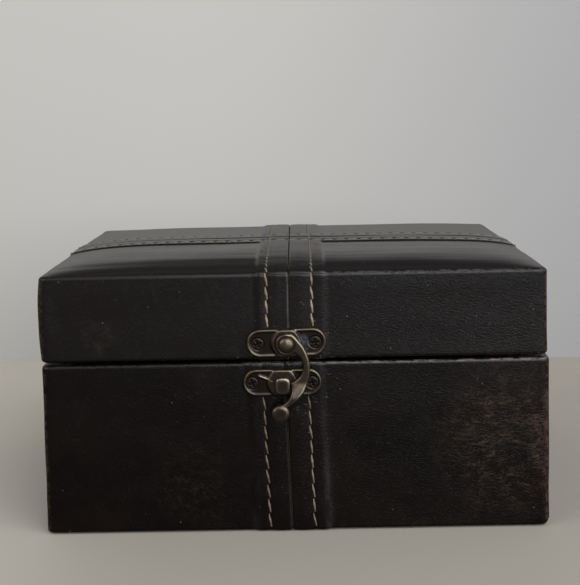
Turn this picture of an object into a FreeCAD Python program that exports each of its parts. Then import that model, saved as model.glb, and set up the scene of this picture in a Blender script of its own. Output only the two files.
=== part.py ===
import FreeCAD, Part
import math
import os
import re
import Sketcher

# Keepsake box: leather over board, with a padded hinged lid and a swing-hook latch
# Frame: +X to the right, +Y to the back, +Z up; origin at the centre of the underside

Vector = FreeCAD.Vector
Rotation = FreeCAD.Rotation

# Driving dimensions, in millimetres and degrees
SIZES = {
    "box_width": 180,
    "box_depth": 130,
    "box_corner": 2.5,
    "base_rim": 61.7,
    "lid_rim": 62.2,
    "lid_board_top": 92.2,
    "leather": 1.0,
    "lining": 0.8,
    "felt": 0.6,
    "felt_margin": 4.0,
    "board_wall": 6.0,
    "board_panel": 4.0,
    "board_rebate": 3.0,
    "turn_under": 15.0,
    "turn_inside": 12.0,
    "crown_inset_1": 2.5,
    "crown_rise_1": 1.0,
    "crown_inset_2": 7.0,
    "crown_rise_2": 1.9,
    "crown_inset_3": 18.0,
    "crown_rise_3": 2.8,
    "crown_inset_4": 34.0,
    "crown_rise_4": 3.5,
    "crown_inset_5": 50.0,
    "crown_rise_5": 3.9,
    "crown_rounding": 0.12,
    "band_width": 24.0,
    "band_proud": 0.6,
    "lid_band_x": -2.0,
    "lid_seam_x": -1.4,
    "base_seam_foot_x": -1.5,
    "base_seam_rim_x": -3.3,
    "seam_gap": 0.2,
    "stitch_offset": 8.0,
    "stitch_pitch": 5.2,
    "stitch_length": 4.2,
    "stitch_width": 0.8,
    "stitch_height": 0.4,
    "hinge_spacing": 100.0,
    "hinge_width": 20.0,
    "hinge_leaf_height": 12.0,
    "hinge_leaf": 0.8,
    "hinge_notch": 1.9,
    "hinge_stop": 3.0,
    "knuckle_radius": 1.6,
    "knuckle_gap": 0.2,
    "pin_radius": 0.8,
    "pin_clearance": 0.04,
    "axis_height": 61.95,
    "hinge_screw_x": 6.0,
    "hinge_screw_drop": 8.0,
    "screw_head": 1.9,
    "screw_head_height": 0.8,
    "screw_shank": 0.9,
    "screw_length": 6.0,
    "cross_length": 2.2,
    "cross_width": 0.5,
    "cross_depth": 0.5,
    "plate_length": 28.0,
    "plate_width": 9.2,
    "plate_sheet": 0.8,
    "plate_bead": 0.9,
    "plate_bead_height": 0.35,
    "plate_screw_x": 10.4,
    "boss_across": 10.6,
    "latch_boss": 1.9,
    "catch_boss": 1.7,
    "boss_edge": 0.5,
    "latch_x": -2.6,
    "latch_height": 68.6,
    "latch_tilt": 1.0,
    "catch_x": -4.25,
    "catch_height": 54.45,
    "stud_radius": 2.6,
    "stud_height": 3.7,
    "stud_edge": 0.9,
    "rivet_radius": 2.6,
    "rivet_dome": 1.7,
    "rivet_shaft": 1.5,
    "rivet_clearance": 0.06,
    "hook_back": 2.15,
    "hook_sheet": 1.6,
    "hook_lean": 1.4,
    "hook_eye": 3.95,
    "hook_outer_x": -6.3,
    "hook_outer_y": -8.7,
    "hook_inner_x": 0.26,
    "hook_inner_y": -7.92,
    "hook_inner_radius": 5.6,
    "hook_notch_x": -4.0,
    "hook_notch_y": -15.6,
    "hook_notch_radius": 5.95,
    "hook_knob_x": -2.15,
    "hook_knob_y": -24.1,
    "hook_knob": 3.0,
    "hook_knob_crown": 0.6,
    "hook_bend_from": 13.5,
    "hook_bend_to": 18.5,
    "hook_bend": 2.0,
}

doc = FreeCAD.newDocument("KeepsakeBox")
sheet = doc.addObject("Spreadsheet::Sheet", "Sizes")
for row, (alias, number) in enumerate(SIZES.items(), start=1):
    sheet.set("A%d" % row, alias)
    sheet.set("B%d" % row, str(number))
    sheet.setAlias("B%d" % row, alias)
doc.recompute()

# Boards start where the leather ends, so these sums of sheet cells are used again and again
CORE_WIDTH = "(box_width - 2 * leather)"
CORE_DEPTH = "(box_depth - 2 * leather)"
INSIDE_WIDTH = "(box_width - 2 * leather - 2 * board_wall)"
INSIDE_DEPTH = "(box_depth - 2 * leather - 2 * board_wall)"
BASE_BOARD_FOOT = "(felt + leather)"
BASE_BOARD_RIM = "(base_rim - leather)"
LID_BOARD_RIM = "(lid_rim + leather)"
LID_ABOVE = "(lid_board_top + board_panel + crown_rise_5)"
BASE_SEAM = ("base_seam_foot_x", "base_seam_rim_x")
HINGE_AXIS_Y = "(box_depth / 2 + knuckle_radius)"
TO_FRONT = Rotation(Vector(1, 0, 0), 90)
TO_BACK = Rotation(Vector(0, 1, 1), 180)


# Names and formulas

def formula(text):
    return re.sub(r"[a-z][a-z_0-9]*", lambda word: refer(word[0]), text)


def refer(word):
    return "Sizes." + word if word in SIZES else word


def value(text):
    return float(sheet.evalExpression(formula(text)))


def bind(thing, paths):
    for path, text in paths.items():
        thing.setExpression(path, formula(text))
    return thing


def place(thing, turn=None, x="0", y="0", z="0"):
    if turn is not None:
        thing.Placement = FreeCAD.Placement(Vector(), turn)
    return bind(thing, {"Placement.Base.x": x, "Placement.Base.y": y, "Placement.Base.z": z})


# Plain solids and booleans

def block(name, x, y, z):
    box = doc.addObject("Part::Box", name)
    for side, axis, (low, high) in (("Length", "x", x), ("Width", "y", y), ("Height", "z", z)):
        bind(box, {side: "(%s) - (%s)" % (high, low), "Placement.Base." + axis: low})
    return box


def rod(name, radius, height, turn=None, x="0", y="0", z="0"):
    cylinder = doc.addObject("Part::Cylinder", name)
    bind(cylinder, {"Radius": radius, "Height": height})
    return place(cylinder, turn, x, y, z)


def join(name, pieces):
    if len(pieces) == 1:
        return pieces[0]
    fused = doc.addObject("Part::MultiFuse", name)
    fused.Shapes = pieces
    return fused


def cut(name, piece, tool):
    result = doc.addObject("Part::Cut", name)
    result.Base = piece
    result.Tool = tool
    return result


def overlap(name, pieces):
    common = doc.addObject("Part::MultiCommon", name)
    common.Shapes = pieces
    return common


def group(name, pieces):
    compound = doc.addObject("Part::Compound", name)
    compound.Links = pieces
    return compound


def copy_of(piece, name, turn=None, x="0", y="0", z="0"):
    link = doc.addObject("App::Link", name)
    link.LinkedObject = piece
    return place(link, turn, x, y, z)


# Sketches and sketch-based features

def new_body(name):
    return doc.addObject("PartDesign::Body", name)


def new_sketch(body, name, role="XY_Plane", across="0", up="0", out="0"):
    sketch = body.newObject("Sketcher::SketchObject", name)
    plane = [feature for feature in body.Origin.OriginFeatures if feature.Role == role][0]
    sketch.AttachmentSupport = [(plane, "")]
    sketch.MapMode = "FlatFace"
    bind(sketch, {"AttachmentOffset.Base.x": across,
                  "AttachmentOffset.Base.y": up,
                  "AttachmentOffset.Base.z": out})
    return sketch


def constrain(sketch, kind, *numbers):
    return sketch.addConstraint(Sketcher.Constraint(kind, *numbers))


def measure(sketch, name, text, kind, *numbers):
    index = constrain(sketch, kind, *numbers, value(text))
    sketch.renameConstraint(index, name)
    bind(sketch, {"Constraints." + name: text})


def line(start, end):
    return Part.LineSegment(Vector(start[0], start[1], 0), Vector(end[0], end[1], 0))


def arc(centre, radius, start, end):
    circle = Part.Circle(Vector(centre[0], centre[1], 0), Vector(0, 0, 1), radius)
    return Part.ArcOfCircle(circle, start, end)


# A rectangle about the sketch's own origin
def draw_rectangle(sketch, width, height):
    right = value(width) / 2
    top = value(height) / 2
    corners = [(-right, -top), (right, -top), (right, top), (-right, top)]
    for index in range(4):
        sketch.addGeometry(line(corners[index], corners[(index + 1) % 4]), False)
    for index in range(4):
        constrain(sketch, "Coincident", index, 2, (index + 1) % 4, 1)
    for index in (0, 2):
        constrain(sketch, "Horizontal", index)
        constrain(sketch, "Vertical", index + 1)
    constrain(sketch, "Symmetric", 0, 1, 2, 1, -1, 1)
    measure(sketch, "Width", width, "DistanceX", 0, 1, 1, 1)
    measure(sketch, "Height", height, "DistanceY", 1, 1, 2, 1)


# The same with round corners
def draw_rounded_rectangle(sketch, width, height, radius):
    right = value(width) / 2
    top = value(height) / 2
    round_off = value(radius)
    x = right - round_off
    y = top - round_off
    quarter = math.pi / 2
    sketch.addGeometry([line((-x, -top), (x, -top)), arc((x, -y), round_off, -quarter, 0),
                        line((right, -y), (right, y)), arc((x, y), round_off, 0, quarter),
                        line((x, top), (-x, top)), arc((-x, y), round_off, quarter, 2 * quarter),
                        line((-right, y), (-right, -y)),
                        arc((-x, -y), round_off, 2 * quarter, 3 * quarter)], False)
    for index in range(8):
        constrain(sketch, "Tangent", index, 2, (index + 1) % 8, 1)
    for index in (0, 4):
        constrain(sketch, "Horizontal", index)
        constrain(sketch, "Vertical", index + 2)
    for index in (3, 5, 7):
        constrain(sketch, "Equal", 1, index)
    constrain(sketch, "Symmetric", 1, 3, 5, 3, -1, 1)
    measure(sketch, "Radius", radius, "Radius", 1)
    measure(sketch, "Width", width, "DistanceX", 6, 1, 2, 1)
    measure(sketch, "Height", height, "DistanceY", 0, 1, 4, 1)


# Two half circles joined by straight sides
def draw_stadium(sketch, length, width):
    end = (value(length) - value(width)) / 2
    side = value(width) / 2
    quarter = math.pi / 2
    sketch.addGeometry([line((-end, -side), (end, -side)), arc((end, 0), side, -quarter, quarter),
                        line((end, side), (-end, side)), arc((-end, 0), side, quarter, 3 * quarter)], False)
    for index in range(4):
        constrain(sketch, "Tangent", index, 2, (index + 1) % 4, 1)
    constrain(sketch, "Horizontal", 0)
    constrain(sketch, "Symmetric", 1, 3, 3, 3, -1, 1)
    constrain(sketch, "Equal", 1, 3)
    measure(sketch, "Radius", "(%s) / 2" % width, "Radius", 1)
    measure(sketch, "Length", "(%s) - (%s)" % (length, width), "DistanceX", 3, 3, 1, 3)


def draw_circle(sketch, radius):
    sketch.addGeometry(Part.Circle(Vector(), Vector(0, 0, 1), value(radius)), False)
    constrain(sketch, "Coincident", 0, 3, -1, 1)
    measure(sketch, "Radius", radius, "Radius", 0)


# A hexagon with two flats across the sketch
def draw_hexagon(sketch, across_flats):
    radius = value(across_flats) / math.sqrt(3)
    turns = [index * math.pi / 3 for index in range(6)]
    points = [(radius * math.cos(turn), radius * math.sin(turn)) for turn in turns]
    for index in range(6):
        sketch.addGeometry(line(points[index], points[(index + 1) % 6]), False)
    ring = sketch.addGeometry(Part.Circle(Vector(), Vector(0, 0, 1), radius), True)
    for index in range(6):
        constrain(sketch, "Coincident", index, 2, (index + 1) % 6, 1)
        constrain(sketch, "PointOnObject", index, 1, ring)
    for index in range(5):
        constrain(sketch, "Equal", 0, index + 1)
    constrain(sketch, "Coincident", ring, 3, -1, 1)
    constrain(sketch, "PointOnObject", 0, 1, -1)
    measure(sketch, "Radius", "(%s) / sqrt(3)" % across_flats, "Radius", ring)


# A closed outline of straight lines, each corner held at its own two formulas
def draw_polygon(sketch, corners):
    points = [(value(x), value(y)) for x, y in corners]
    count = len(corners)
    for index in range(count):
        sketch.addGeometry(line(points[index], points[(index + 1) % count]), False)
    for index, (x, y) in enumerate(corners):
        constrain(sketch, "Coincident", index, 2, (index + 1) % count, 1)
        hold_point(sketch, index, 1, "P%d" % index, x, y)


def hold_point(sketch, index, position, name, x, y):
    for kind, axis, text in (("DistanceX", "X", x), ("DistanceY", "Y", y)):
        if abs(value(text)) < 1e-9:
            constrain(sketch, "PointOnObject", index, position, -2 if axis == "X" else -1)
        else:
            measure(sketch, name + axis, text, kind, -1, 1, index, position)


def pad(body, name, profile, length, both_ways=False):
    feature = body.newObject("PartDesign::Pad", name)
    feature.Profile = profile
    feature.Midplane = both_ways
    return bind(feature, {"Length": length})


def pocket(body, name, profile, length, reverse=False):
    doc.recompute()
    before = body.Shape.Volume
    feature = body.newObject("PartDesign::Pocket", name)
    feature.Profile = profile
    feature.Reversed = reverse
    bind(feature, {"Length": length})
    doc.recompute()
    if body.Shape.Volume > before - 1e-6:
        raise RuntimeError(name + " cuts nothing")
    return feature


def revolve(body, name, profile):
    feature = body.newObject("PartDesign::Revolution", name)
    feature.Profile = profile
    feature.ReferenceAxis = (profile, ["V_Axis"])
    feature.Angle = 360
    return feature


def fillet(body, name, radius, wanted):
    doc.recompute()
    base = body.Tip
    edges = ["Edge%d" % (index + 1) for index, edge in enumerate(base.Shape.Edges) if wanted(edge.BoundBox)]
    feature = body.newObject("PartDesign::Fillet", name)
    feature.Base = (base, edges)
    return bind(feature, {"Radius": radius})


# A body lofted straight through rounded rectangles, each given by its inset and level
def stack(name, sections):
    body = new_body(name)
    outlines = []
    for number, (inset, level) in enumerate(sections, start=1):
        outline = new_sketch(body, "%s_%d" % (name, number), out=level)
        corner = "box_corner - leather - min(0; %s) + crown_rounding * max(0; %s)" % (inset, inset)
        draw_rounded_rectangle(outline, "%s - 2 * (%s)" % (CORE_WIDTH, inset),
                               "%s - 2 * (%s)" % (CORE_DEPTH, inset), corner)
        outlines.append(outline)
    loft = body.newObject("PartDesign::AdditiveLoft", name + "_loft")
    loft.Profile = outlines[0]
    loft.Sections = outlines[1:]
    loft.Ruled = True
    return body


# Boards: every wall is one board with a rebate for the panel, and the long walls lap the short ones

def wall(label, length, height, lapped, turn, x, y, z, drills=None):
    body = new_body(label + "_board")
    profile = new_sketch(body, label + "_profile", "YZ_Plane")
    draw_polygon(profile, [("0", "0"),
                           ("board_wall - board_rebate", "0"),
                           ("board_wall - board_rebate", "board_panel"),
                           ("board_wall", "board_panel"),
                           ("board_wall", height),
                           ("0", height)])
    pad(body, label + "_length", profile, length, both_ways=True)
    if lapped:
        for side in ("-", ""):
            lap = new_sketch(body, label + "_lap" + ("_left" if side else "_right"),
                             across=side + "(%s - board_wall) / 2" % length,
                             up="board_wall - board_rebate / 2")
            draw_rectangle(lap, "board_wall", "board_rebate")
            pocket(body, lap.Name + "_cut", lap, height, reverse=True)
        end = value(length) / 2
        fillet(body, label + "_corner", "box_corner - leather",
               lambda box: box.ZLength > 10 and box.YMax < 1e-6 and abs(abs(box.XMin) - end) < 1e-6)
    if drills is None:
        body.Label = label
        return place(body, turn, x, y, z)
    body = place(body, turn, x, y, z)
    return cut(label, body, drills)


def walls(part, foot, height, upside_down, front_drills, back_drills):
    flip = Rotation(Vector(0, 1, 0), 180) if upside_down else Rotation()
    made = []
    for side, length, lapped, turn, x, y, drills in (
            ("front", CORE_WIDTH, True, 0, "0", "-%s / 2" % CORE_DEPTH, front_drills),
            ("back", CORE_WIDTH, True, 180, "0", "%s / 2" % CORE_DEPTH, back_drills),
            ("left", CORE_DEPTH + " - 2 * board_rebate", False, -90, "-%s / 2" % CORE_WIDTH, "0", None),
            ("right", CORE_DEPTH + " - 2 * board_rebate", False, 90, "%s / 2" % CORE_WIDTH, "0", None)):
        spin = Rotation(Vector(0, 0, 1), turn)
        made.append(wall("%s_%s_wall" % (part, side), length, height, lapped, spin.multiply(flip),
                         x, y, foot, drills))
    return made


def panel(label, low, high):
    inset = "(board_wall - board_rebate)"
    return block(label,
                 ("-%s / 2 + %s" % (CORE_WIDTH, inset), "%s / 2 - %s" % (CORE_WIDTH, inset)),
                 ("-%s / 2 + %s" % (CORE_DEPTH, inset), "%s / 2 - %s" % (CORE_DEPTH, inset)),
                 (low, high))


# A block about the centre line, drawn in by an inset from the inner faces of the walls
def inner_block(name, inset, low, high):
    return block(name,
                 ("-%s / 2 + (%s)" % (INSIDE_WIDTH, inset), "%s / 2 - (%s)" % (INSIDE_WIDTH, inset)),
                 ("-%s / 2 + (%s)" % (INSIDE_DEPTH, inset), "%s / 2 - (%s)" % (INSIDE_DEPTH, inset)),
                 (low, high))


def inner_ring(name, thickness, low, high):
    outer = inner_block(name + "_outer", "0", low, high)
    inner = inner_block(name + "_inner", thickness, low, high)
    return cut(name, outer, inner)


# Padding: a foam pad that crowns the lid

def crown_sections(level):
    return [("crown_inset_%d" % step, "%s + crown_rise_%d" % (level, step)) for step in range(1, 6)]


def padding():
    return stack("lid_padding", [("0", "lid_board_top")] + crown_sections("lid_board_top"))


# Leather: four pieces a shell, butted at the seams, with a raised double band along each seam

def base_envelope(name, thickness):
    return stack(name, [("0", "felt"),
                        ("-0.7 * " + thickness, "felt + 0.3 * leather"),
                        ("-" + thickness, "felt + leather"),
                        ("-" + thickness, "base_rim - leather"),
                        ("-0.7 * " + thickness, "base_rim - 0.3 * leather"),
                        ("0", "base_rim")])


def lid_envelope(name, thickness):
    top = "lid_board_top + " + thickness
    return stack(name, [("0", "lid_rim"),
                        ("-0.7 * " + thickness, "lid_rim + 0.3 * leather"),
                        ("-" + thickness, "lid_rim + leather"),
                        ("-" + thickness, "lid_board_top"),
                        ("-0.7 * " + thickness, "lid_board_top + 0.7 * " + thickness),
                        ("0", top)] + crown_sections(top))


# A slab upright along Y between two slanting edges, each given at its foot and at its top
def upright_slab(name, left, right, low, high, start, length, both_ways=False, to_back=False):
    body = new_body(name)
    profile = new_sketch(body, name + "_profile", "XZ_Plane", out=start)
    draw_polygon(profile, [(left[0], low), (right[0], low), (right[1], high), (left[1], high)])
    pad(body, name + "_length", profile, length, both_ways).Reversed = to_back
    return body


# Two crossing slabs that mark where the leather is doubled
def band_slabs(name, centres, low, high):
    left = ["%s - band_width / 2" % centre for centre in centres]
    right = ["%s + band_width / 2" % centre for centre in centres]
    along = upright_slab(name + "_front", left, right, low, high, "0", "2 * box_depth", both_ways=True)
    across = block(name + "_side", ("-box_width", "box_width"),
                   ("-band_width / 2", "band_width / 2"), (low, high))
    return join(name, [across, along])


# Four blocks that divide a shell at its seams; a front seam may lean
def quarters(part, seams, low, high):
    gap = "seam_gap / 2"
    pieces = {}
    for row, xs in (("front", seams), ("rear", (seams[0], seams[0]))):
        for side in ("left", "right"):
            if side == "left":
                left = ["-box_width", "-box_width"]
                right = ["%s - %s" % (x, gap) for x in xs]
            else:
                left = ["%s + %s" % (x, gap) for x in xs]
                right = ["box_width", "box_width"]
            to_back = row == "rear"
            pieces["%s_%s" % (row, side)] = upright_slab(
                "%s_quarter_%s_%s" % (part, row, side), left, right, low, high,
                "-" + gap if to_back else gap, "box_depth", to_back=to_back)
    return pieces


def leather(part, envelope, band, slabs, core, opening, ring, seams, low, high, drills):
    raised = overlap(part + "_band", [band, slabs])
    outside = join(part + "_outside", [envelope, raised])
    skin = cut(part + "_skin", cut(part + "_sheet", outside, core), opening)
    whole = cut(part + "_leather", join(part + "_turned", [skin, ring]), drills)
    made = []
    for place_name, quarter in quarters(part, seams, low, high).items():
        made.append(overlap("%s_leather_%s" % (part, place_name), [whole, quarter]))
    return made


# Hinges: a stop butt hinge with three knuckles, drawn about its own axis and then set on the back

KNUCKLE = "((hinge_width - 4 * knuckle_gap) / 3)"


def knuckle(name, x, bore):
    turn = Rotation(Vector(0, 1, 0), 90)
    barrel = rod(name + "_barrel", "knuckle_radius", KNUCKLE, turn, x=x)
    hole = rod(name + "_hole", bore, KNUCKLE, turn, x=x)
    return barrel, hole


def leaf(label, up, xs, bore, side, drills):
    plate_near = "-knuckle_radius"
    plate_far = "hinge_leaf - knuckle_radius"
    reach = "(hinge_notch + hinge_leaf_height)"
    if up:
        span = ("hinge_notch", reach)
    else:
        span = ("-" + reach, "-hinge_notch")
    parts = [block(label + "_plate", ("-hinge_width / 2", "hinge_width / 2"), (plate_near, plate_far), span)]
    holes = []
    for number, x in enumerate(xs, start=1):
        barrel, hole = knuckle("%s_knuckle_%d" % (label, number), x, bore)
        along = (x, "%s + %s" % (x, KNUCKLE))
        web_span = ("0", "hinge_notch") if up else ("-hinge_notch", "0")
        parts += [barrel, block("%s_web_%d" % (label, number), along, (plate_near, plate_far), web_span)]
        if not up:
            parts.append(block("%s_stop_%d" % (label, number), along, ("0", "hinge_stop"),
                               ("-0.9 * knuckle_radius", "-0.1 * knuckle_radius")))
        holes.append(hole)
    solid = cut(label + "_bored", join(label + "_solid", parts), join(label + "_bores", holes))
    place(solid, None, side + "hinge_spacing / 2", HINGE_AXIS_Y, "axis_height")
    return cut(label, solid, drills)


def knuckle_start(number):
    return "-hinge_width / 2 + knuckle_gap + %d * (%s + knuckle_gap)" % (number, KNUCKLE)


def hinges(base_drills, lid_drills):
    made = []
    for side_name, side in (("left", "-"), ("right", "")):
        stem = "hinge_" + side_name
        made.append(leaf(stem + "_base_leaf", False, [knuckle_start(0), knuckle_start(2)],
                         "pin_radius", side, base_drills))
        made.append(leaf(stem + "_lid_leaf", True, [knuckle_start(1)],
                         "pin_radius + pin_clearance", side, lid_drills))
        made.append(rod(stem + "_pin", "pin_radius", "hinge_width - 2 * knuckle_gap",
                        Rotation(Vector(0, 1, 0), 90),
                        side + "hinge_spacing / 2 - hinge_width / 2 + knuckle_gap",
                        HINGE_AXIS_Y, "axis_height"))
    return made


# Screws: one pattern screw, copied to every place, with a cross recess in its head

def pattern_screw():
    body = new_body("screw_pattern")
    profile = new_sketch(body, "screw_profile", "XZ_Plane")
    draw_polygon(profile, [("0", "-screw_length"),
                           ("screw_shank", "-screw_length"),
                           ("screw_shank", "0"),
                           ("screw_head", "0"),
                           ("screw_head", "screw_head_height / 2"),
                           ("0.7 * screw_head", "screw_head_height"),
                           ("0", "screw_head_height")])
    revolve(body, "screw_turned", profile)
    for name, length, width in (("screw_slot_across", "cross_length", "cross_width"),
                                ("screw_slot_up", "cross_width", "cross_length")):
        slot = new_sketch(body, name, out="screw_head_height")
        draw_rectangle(slot, length, width)
        pocket(body, name + "_cut", slot, "cross_depth")
    return body


def plate_screw_spots(x, height, tilt):
    on_plate = "-box_depth / 2 - band_proud - plate_sheet"
    return [(TO_FRONT, "%s %s plate_screw_x * cos(%s)" % (x, side, tilt), on_plate,
             "%s %s plate_screw_x * sin(%s)" % (height, side, tilt)) for side in ("-", "+")]


def hinge_screw_spots(height):
    on_leaf = "box_depth / 2 + hinge_leaf"
    return [(TO_BACK, "%shinge_spacing / 2 %s hinge_screw_x" % (hinge, side), on_leaf, height)
            for hinge in ("-", "+") for side in ("-", "+")]


def screws_and_drills():
    pattern = pattern_screw()
    groups = []
    drills = {}
    for label, spots in (("catch_plate_screws", plate_screw_spots("catch_x", "catch_height", "0")),
                         ("latch_plate_screws", plate_screw_spots("latch_x", "latch_height", "latch_tilt")),
                         ("hinge_base_screws", hinge_screw_spots("axis_height - hinge_screw_drop")),
                         ("hinge_lid_screws", hinge_screw_spots("axis_height + hinge_screw_drop"))):
        screws = []
        holes = []
        for number, (turn, x, y, z) in enumerate(spots, start=1):
            name = "%s_%d" % (label, number)
            screws.append(copy_of(pattern, name, turn, x, y, z))
            inward = "+" if turn is TO_FRONT else "-"
            holes.append(rod(name + "_drill", "screw_shank", "2 * screw_length", turn, x,
                             "%s %s screw_length" % (y, inward), z))
        groups.append(group(label, screws))
        drills[label] = join(label + "_drills", holes)
    return groups, drills


# Stitches: one pattern stitch, copied along every seam line on the doubled leather

def pattern_stitch():
    body = new_body("stitch_pattern")
    outline = new_sketch(body, "stitch_outline")
    draw_rectangle(outline, "stitch_length", "stitch_width")
    pad(body, "stitch_raised", outline, "stitch_height")
    return body


# Even steps along a path, each with its point and the direction of the path there
def walk(path):
    pitch = value("stitch_pitch")
    lengths = [(end - start).Length for start, end in zip(path, path[1:])]
    steps = []
    for count in range(int(sum(lengths) / pitch)):
        run = (count + 0.5) * pitch
        index = 0
        while run > lengths[index]:
            run -= lengths[index]
            index += 1
        direction = (path[index + 1] - path[index]).normalize()
        steps.append((path[index] + direction * run, direction))
    return steps


def stitching(label, pattern, paths, sideways, crossed=()):
    reach = value("(stitch_length + stitch_width) / 2 + seam_gap")
    stitches = []
    for number, path in enumerate(paths, start=1):
        for count, (point, direction) in enumerate(walk(path), start=1):
            if any(abs(point.x - x) < reach for x in crossed):
                continue
            link = doc.addObject("App::Link", "%s_%d_%d" % (label, number, count))
            link.LinkedObject = pattern
            outward = sideways.cross(direction)
            link.Placement = FreeCAD.Placement(point, Rotation(direction, Vector(), outward, "ZXY"))
            stitches.append(link)
    return group(label, stitches)


# The line of the doubled leather up one side of the lid, over the crown and down the other side
def over_lid(half_core, low_start, low_end):
    half = value(half_core)
    proud = value("leather + band_proud")
    top = value("lid_board_top") + proud
    rise = [(half + 0.7 * proud, top - 0.3 * proud), (half, top)]
    for step in range(1, 6):
        rise.append((half - value("crown_inset_%d" % step), top + value("crown_rise_%d" % step)))
    start = [(-half - proud, value(low_start)), (-half - proud, top - proud)]
    end = [(half + proud, top - proud), (half + proud, value(low_end))]
    return start + [(-across, level) for across, level in rise] + rise[::-1] + end


def stitch_lines(centre):
    return [value("%s %s stitch_offset" % (centre, side)) for side in ("-", "+")]


def lid_stitching(pattern):
    above_latch = "latch_height + boss_across / 2 + leather"
    above_rim = "lid_rim + 2 * leather"
    front_back = [[Vector(x, y, z) for y, z in over_lid(CORE_DEPTH + " / 2", above_latch, above_rim)]
                  for x in stitch_lines("lid_band_x")]
    left_right = [[Vector(x, y, z) for x, z in over_lid(CORE_WIDTH + " / 2", above_rim, above_rim)]
                  for y in stitch_lines("0")]
    return [stitching("lid_stitching_front_back", pattern, front_back, Vector(1, 0, 0)),
            stitching("lid_stitching_left_right", pattern, left_right, Vector(0, -1, 0),
                      stitch_lines("lid_band_x"))]


def base_stitching(pattern):
    foot = value("felt + 2 * leather")
    rim = value("base_rim - 2 * leather")
    below_catch = value("catch_height - boss_across / 2 - leather")
    front = value("box_depth / 2 + band_proud")
    side = value("box_width / 2 + band_proud")
    made = []
    for label, y, high, sideways in (("base_stitching_front", -front, below_catch, Vector(1, 0, 0)),
                                     ("base_stitching_back", front, rim, Vector(-1, 0, 0))):
        paths = []
        for at_foot, at_rim in zip(stitch_lines(BASE_SEAM[0]), stitch_lines(BASE_SEAM[1])):
            at_high = at_foot + (at_rim - at_foot) * high / value("lid_rim")
            paths.append([Vector(at_foot, y, foot), Vector(at_high, y, high)])
        made.append(stitching(label, pattern, paths, sideways))
    for label, x, sideways in (("base_stitching_left", -side, Vector(0, -1, 0)),
                               ("base_stitching_right", side, Vector(0, 1, 0))):
        paths = [[Vector(x, y, foot), Vector(x, y, rim)] for y in stitch_lines("0")]
        made.append(stitching(label, pattern, paths, sideways))
    return made


# Latch: two stamped plates, a stud, a hook and the rivet that it swings on

def plate(name, boss_height, hole):
    body = new_body(name)
    sheet_outline = new_sketch(body, name + "_outline")
    draw_stadium(sheet_outline, "plate_length", "plate_width")
    pad(body, name + "_sheet", sheet_outline, "plate_sheet + plate_bead_height")
    inner = new_sketch(body, name + "_inner", out="plate_sheet + plate_bead_height")
    draw_stadium(inner, "plate_length - 2 * plate_bead", "plate_width - 2 * plate_bead")
    pocket(body, name + "_dish", inner, "plate_bead_height")
    boss = new_sketch(body, name + "_boss")
    draw_hexagon(boss, "boss_across")
    pad(body, name + "_boss_pad", boss, boss_height)
    top = value(boss_height)
    fillet(body, name + "_boss_edge", "boss_edge", lambda box: box.ZMin > top - 1e-6)
    bore = new_sketch(body, name + "_bore", out=boss_height)
    draw_circle(bore, hole)
    pocket(body, name + "_bore_cut", bore, boss_height)
    return body


def stud():
    body = new_body("catch_stud")
    profile = new_sketch(body, "stud_profile", "XZ_Plane")
    draw_polygon(profile, [("0", "0"),
                           ("rivet_shaft", "0"),
                           ("rivet_shaft", "catch_boss"),
                           ("stud_radius", "catch_boss"),
                           ("stud_radius", "stud_height"),
                           ("0", "stud_height")])
    revolve(body, "stud_turned", profile)
    top = value("stud_height")
    fillet(body, "stud_rounded", "stud_edge", lambda box: box.ZMin > top - 1e-6)
    return body


def rivet():
    seat = "(hook_back + hook_sheet + rivet_clearance)"
    shaft = rod("rivet_shank", "rivet_shaft", seat)
    dome = doc.addObject("Part::Ellipsoid", "rivet_head")
    bind(dome, {"Radius1": "rivet_dome", "Radius2": "rivet_radius", "Radius3": "rivet_radius"})
    dome.Angle1 = 0
    place(dome, None, "0", "0", seat)
    return join("latch_rivet", [shaft, dome])


# Five arcs held by their centres and radii, of which the outer one runs on smoothly into the eye
def hook_outline(body):
    sketch = new_sketch(body, "hook_outline")
    circles = [("eye", "0", "0", "hook_eye"),
               ("inner", "hook_inner_x", "hook_inner_y", "hook_inner_radius"),
               ("notch", "hook_notch_x", "hook_notch_y", "hook_notch_radius"),
               ("knob", "hook_knob_x", "hook_knob_y", "hook_knob"),
               ("outer", "hook_outer_x", "hook_outer_y",
                "sqrt(hook_outer_x ^ 2 + hook_outer_y ^ 2) + hook_eye")]
    centres = [(value(x), value(y)) for _, x, y, _ in circles]
    radii = [value(radius) for _, _, _, radius in circles]
    touch = (centres[4], centres[0], radii[0])
    crossings = [meeting(centres, radii, 0, 1), meeting(centres, radii, 1, 2), meeting(centres, radii, 2, 3),
                 meeting(centres, radii, 3, 4), beyond(*touch)]
    for index, (name, x, y, radius) in enumerate(circles):
        start = crossings[index - 1]
        end = crossings[index]
        clockwise = name in ("inner", "notch")
        first, last = (end, start) if clockwise else (start, end)
        angles = [math.atan2(point[1] - centres[index][1], point[0] - centres[index][0])
                  for point in (first, last)]
        if angles[1] < angles[0]:
            angles[1] += 2 * math.pi
        sketch.addGeometry(arc(centres[index], radii[index], *angles), False)
        hold_point(sketch, index, 3, name, x, y)
        if name != "outer":
            measure(sketch, name + "Radius", radius, "Radius", index)
    ends = {0: (1, 2), 1: (2, 1), 2: (2, 1), 3: (1, 2), 4: (1, 2)}
    for index in range(4):
        constrain(sketch, "Coincident", index, ends[index][1], index + 1, ends[index + 1][0])
    constrain(sketch, "Tangent", 4, 2, 0, 1)
    return sketch


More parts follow.
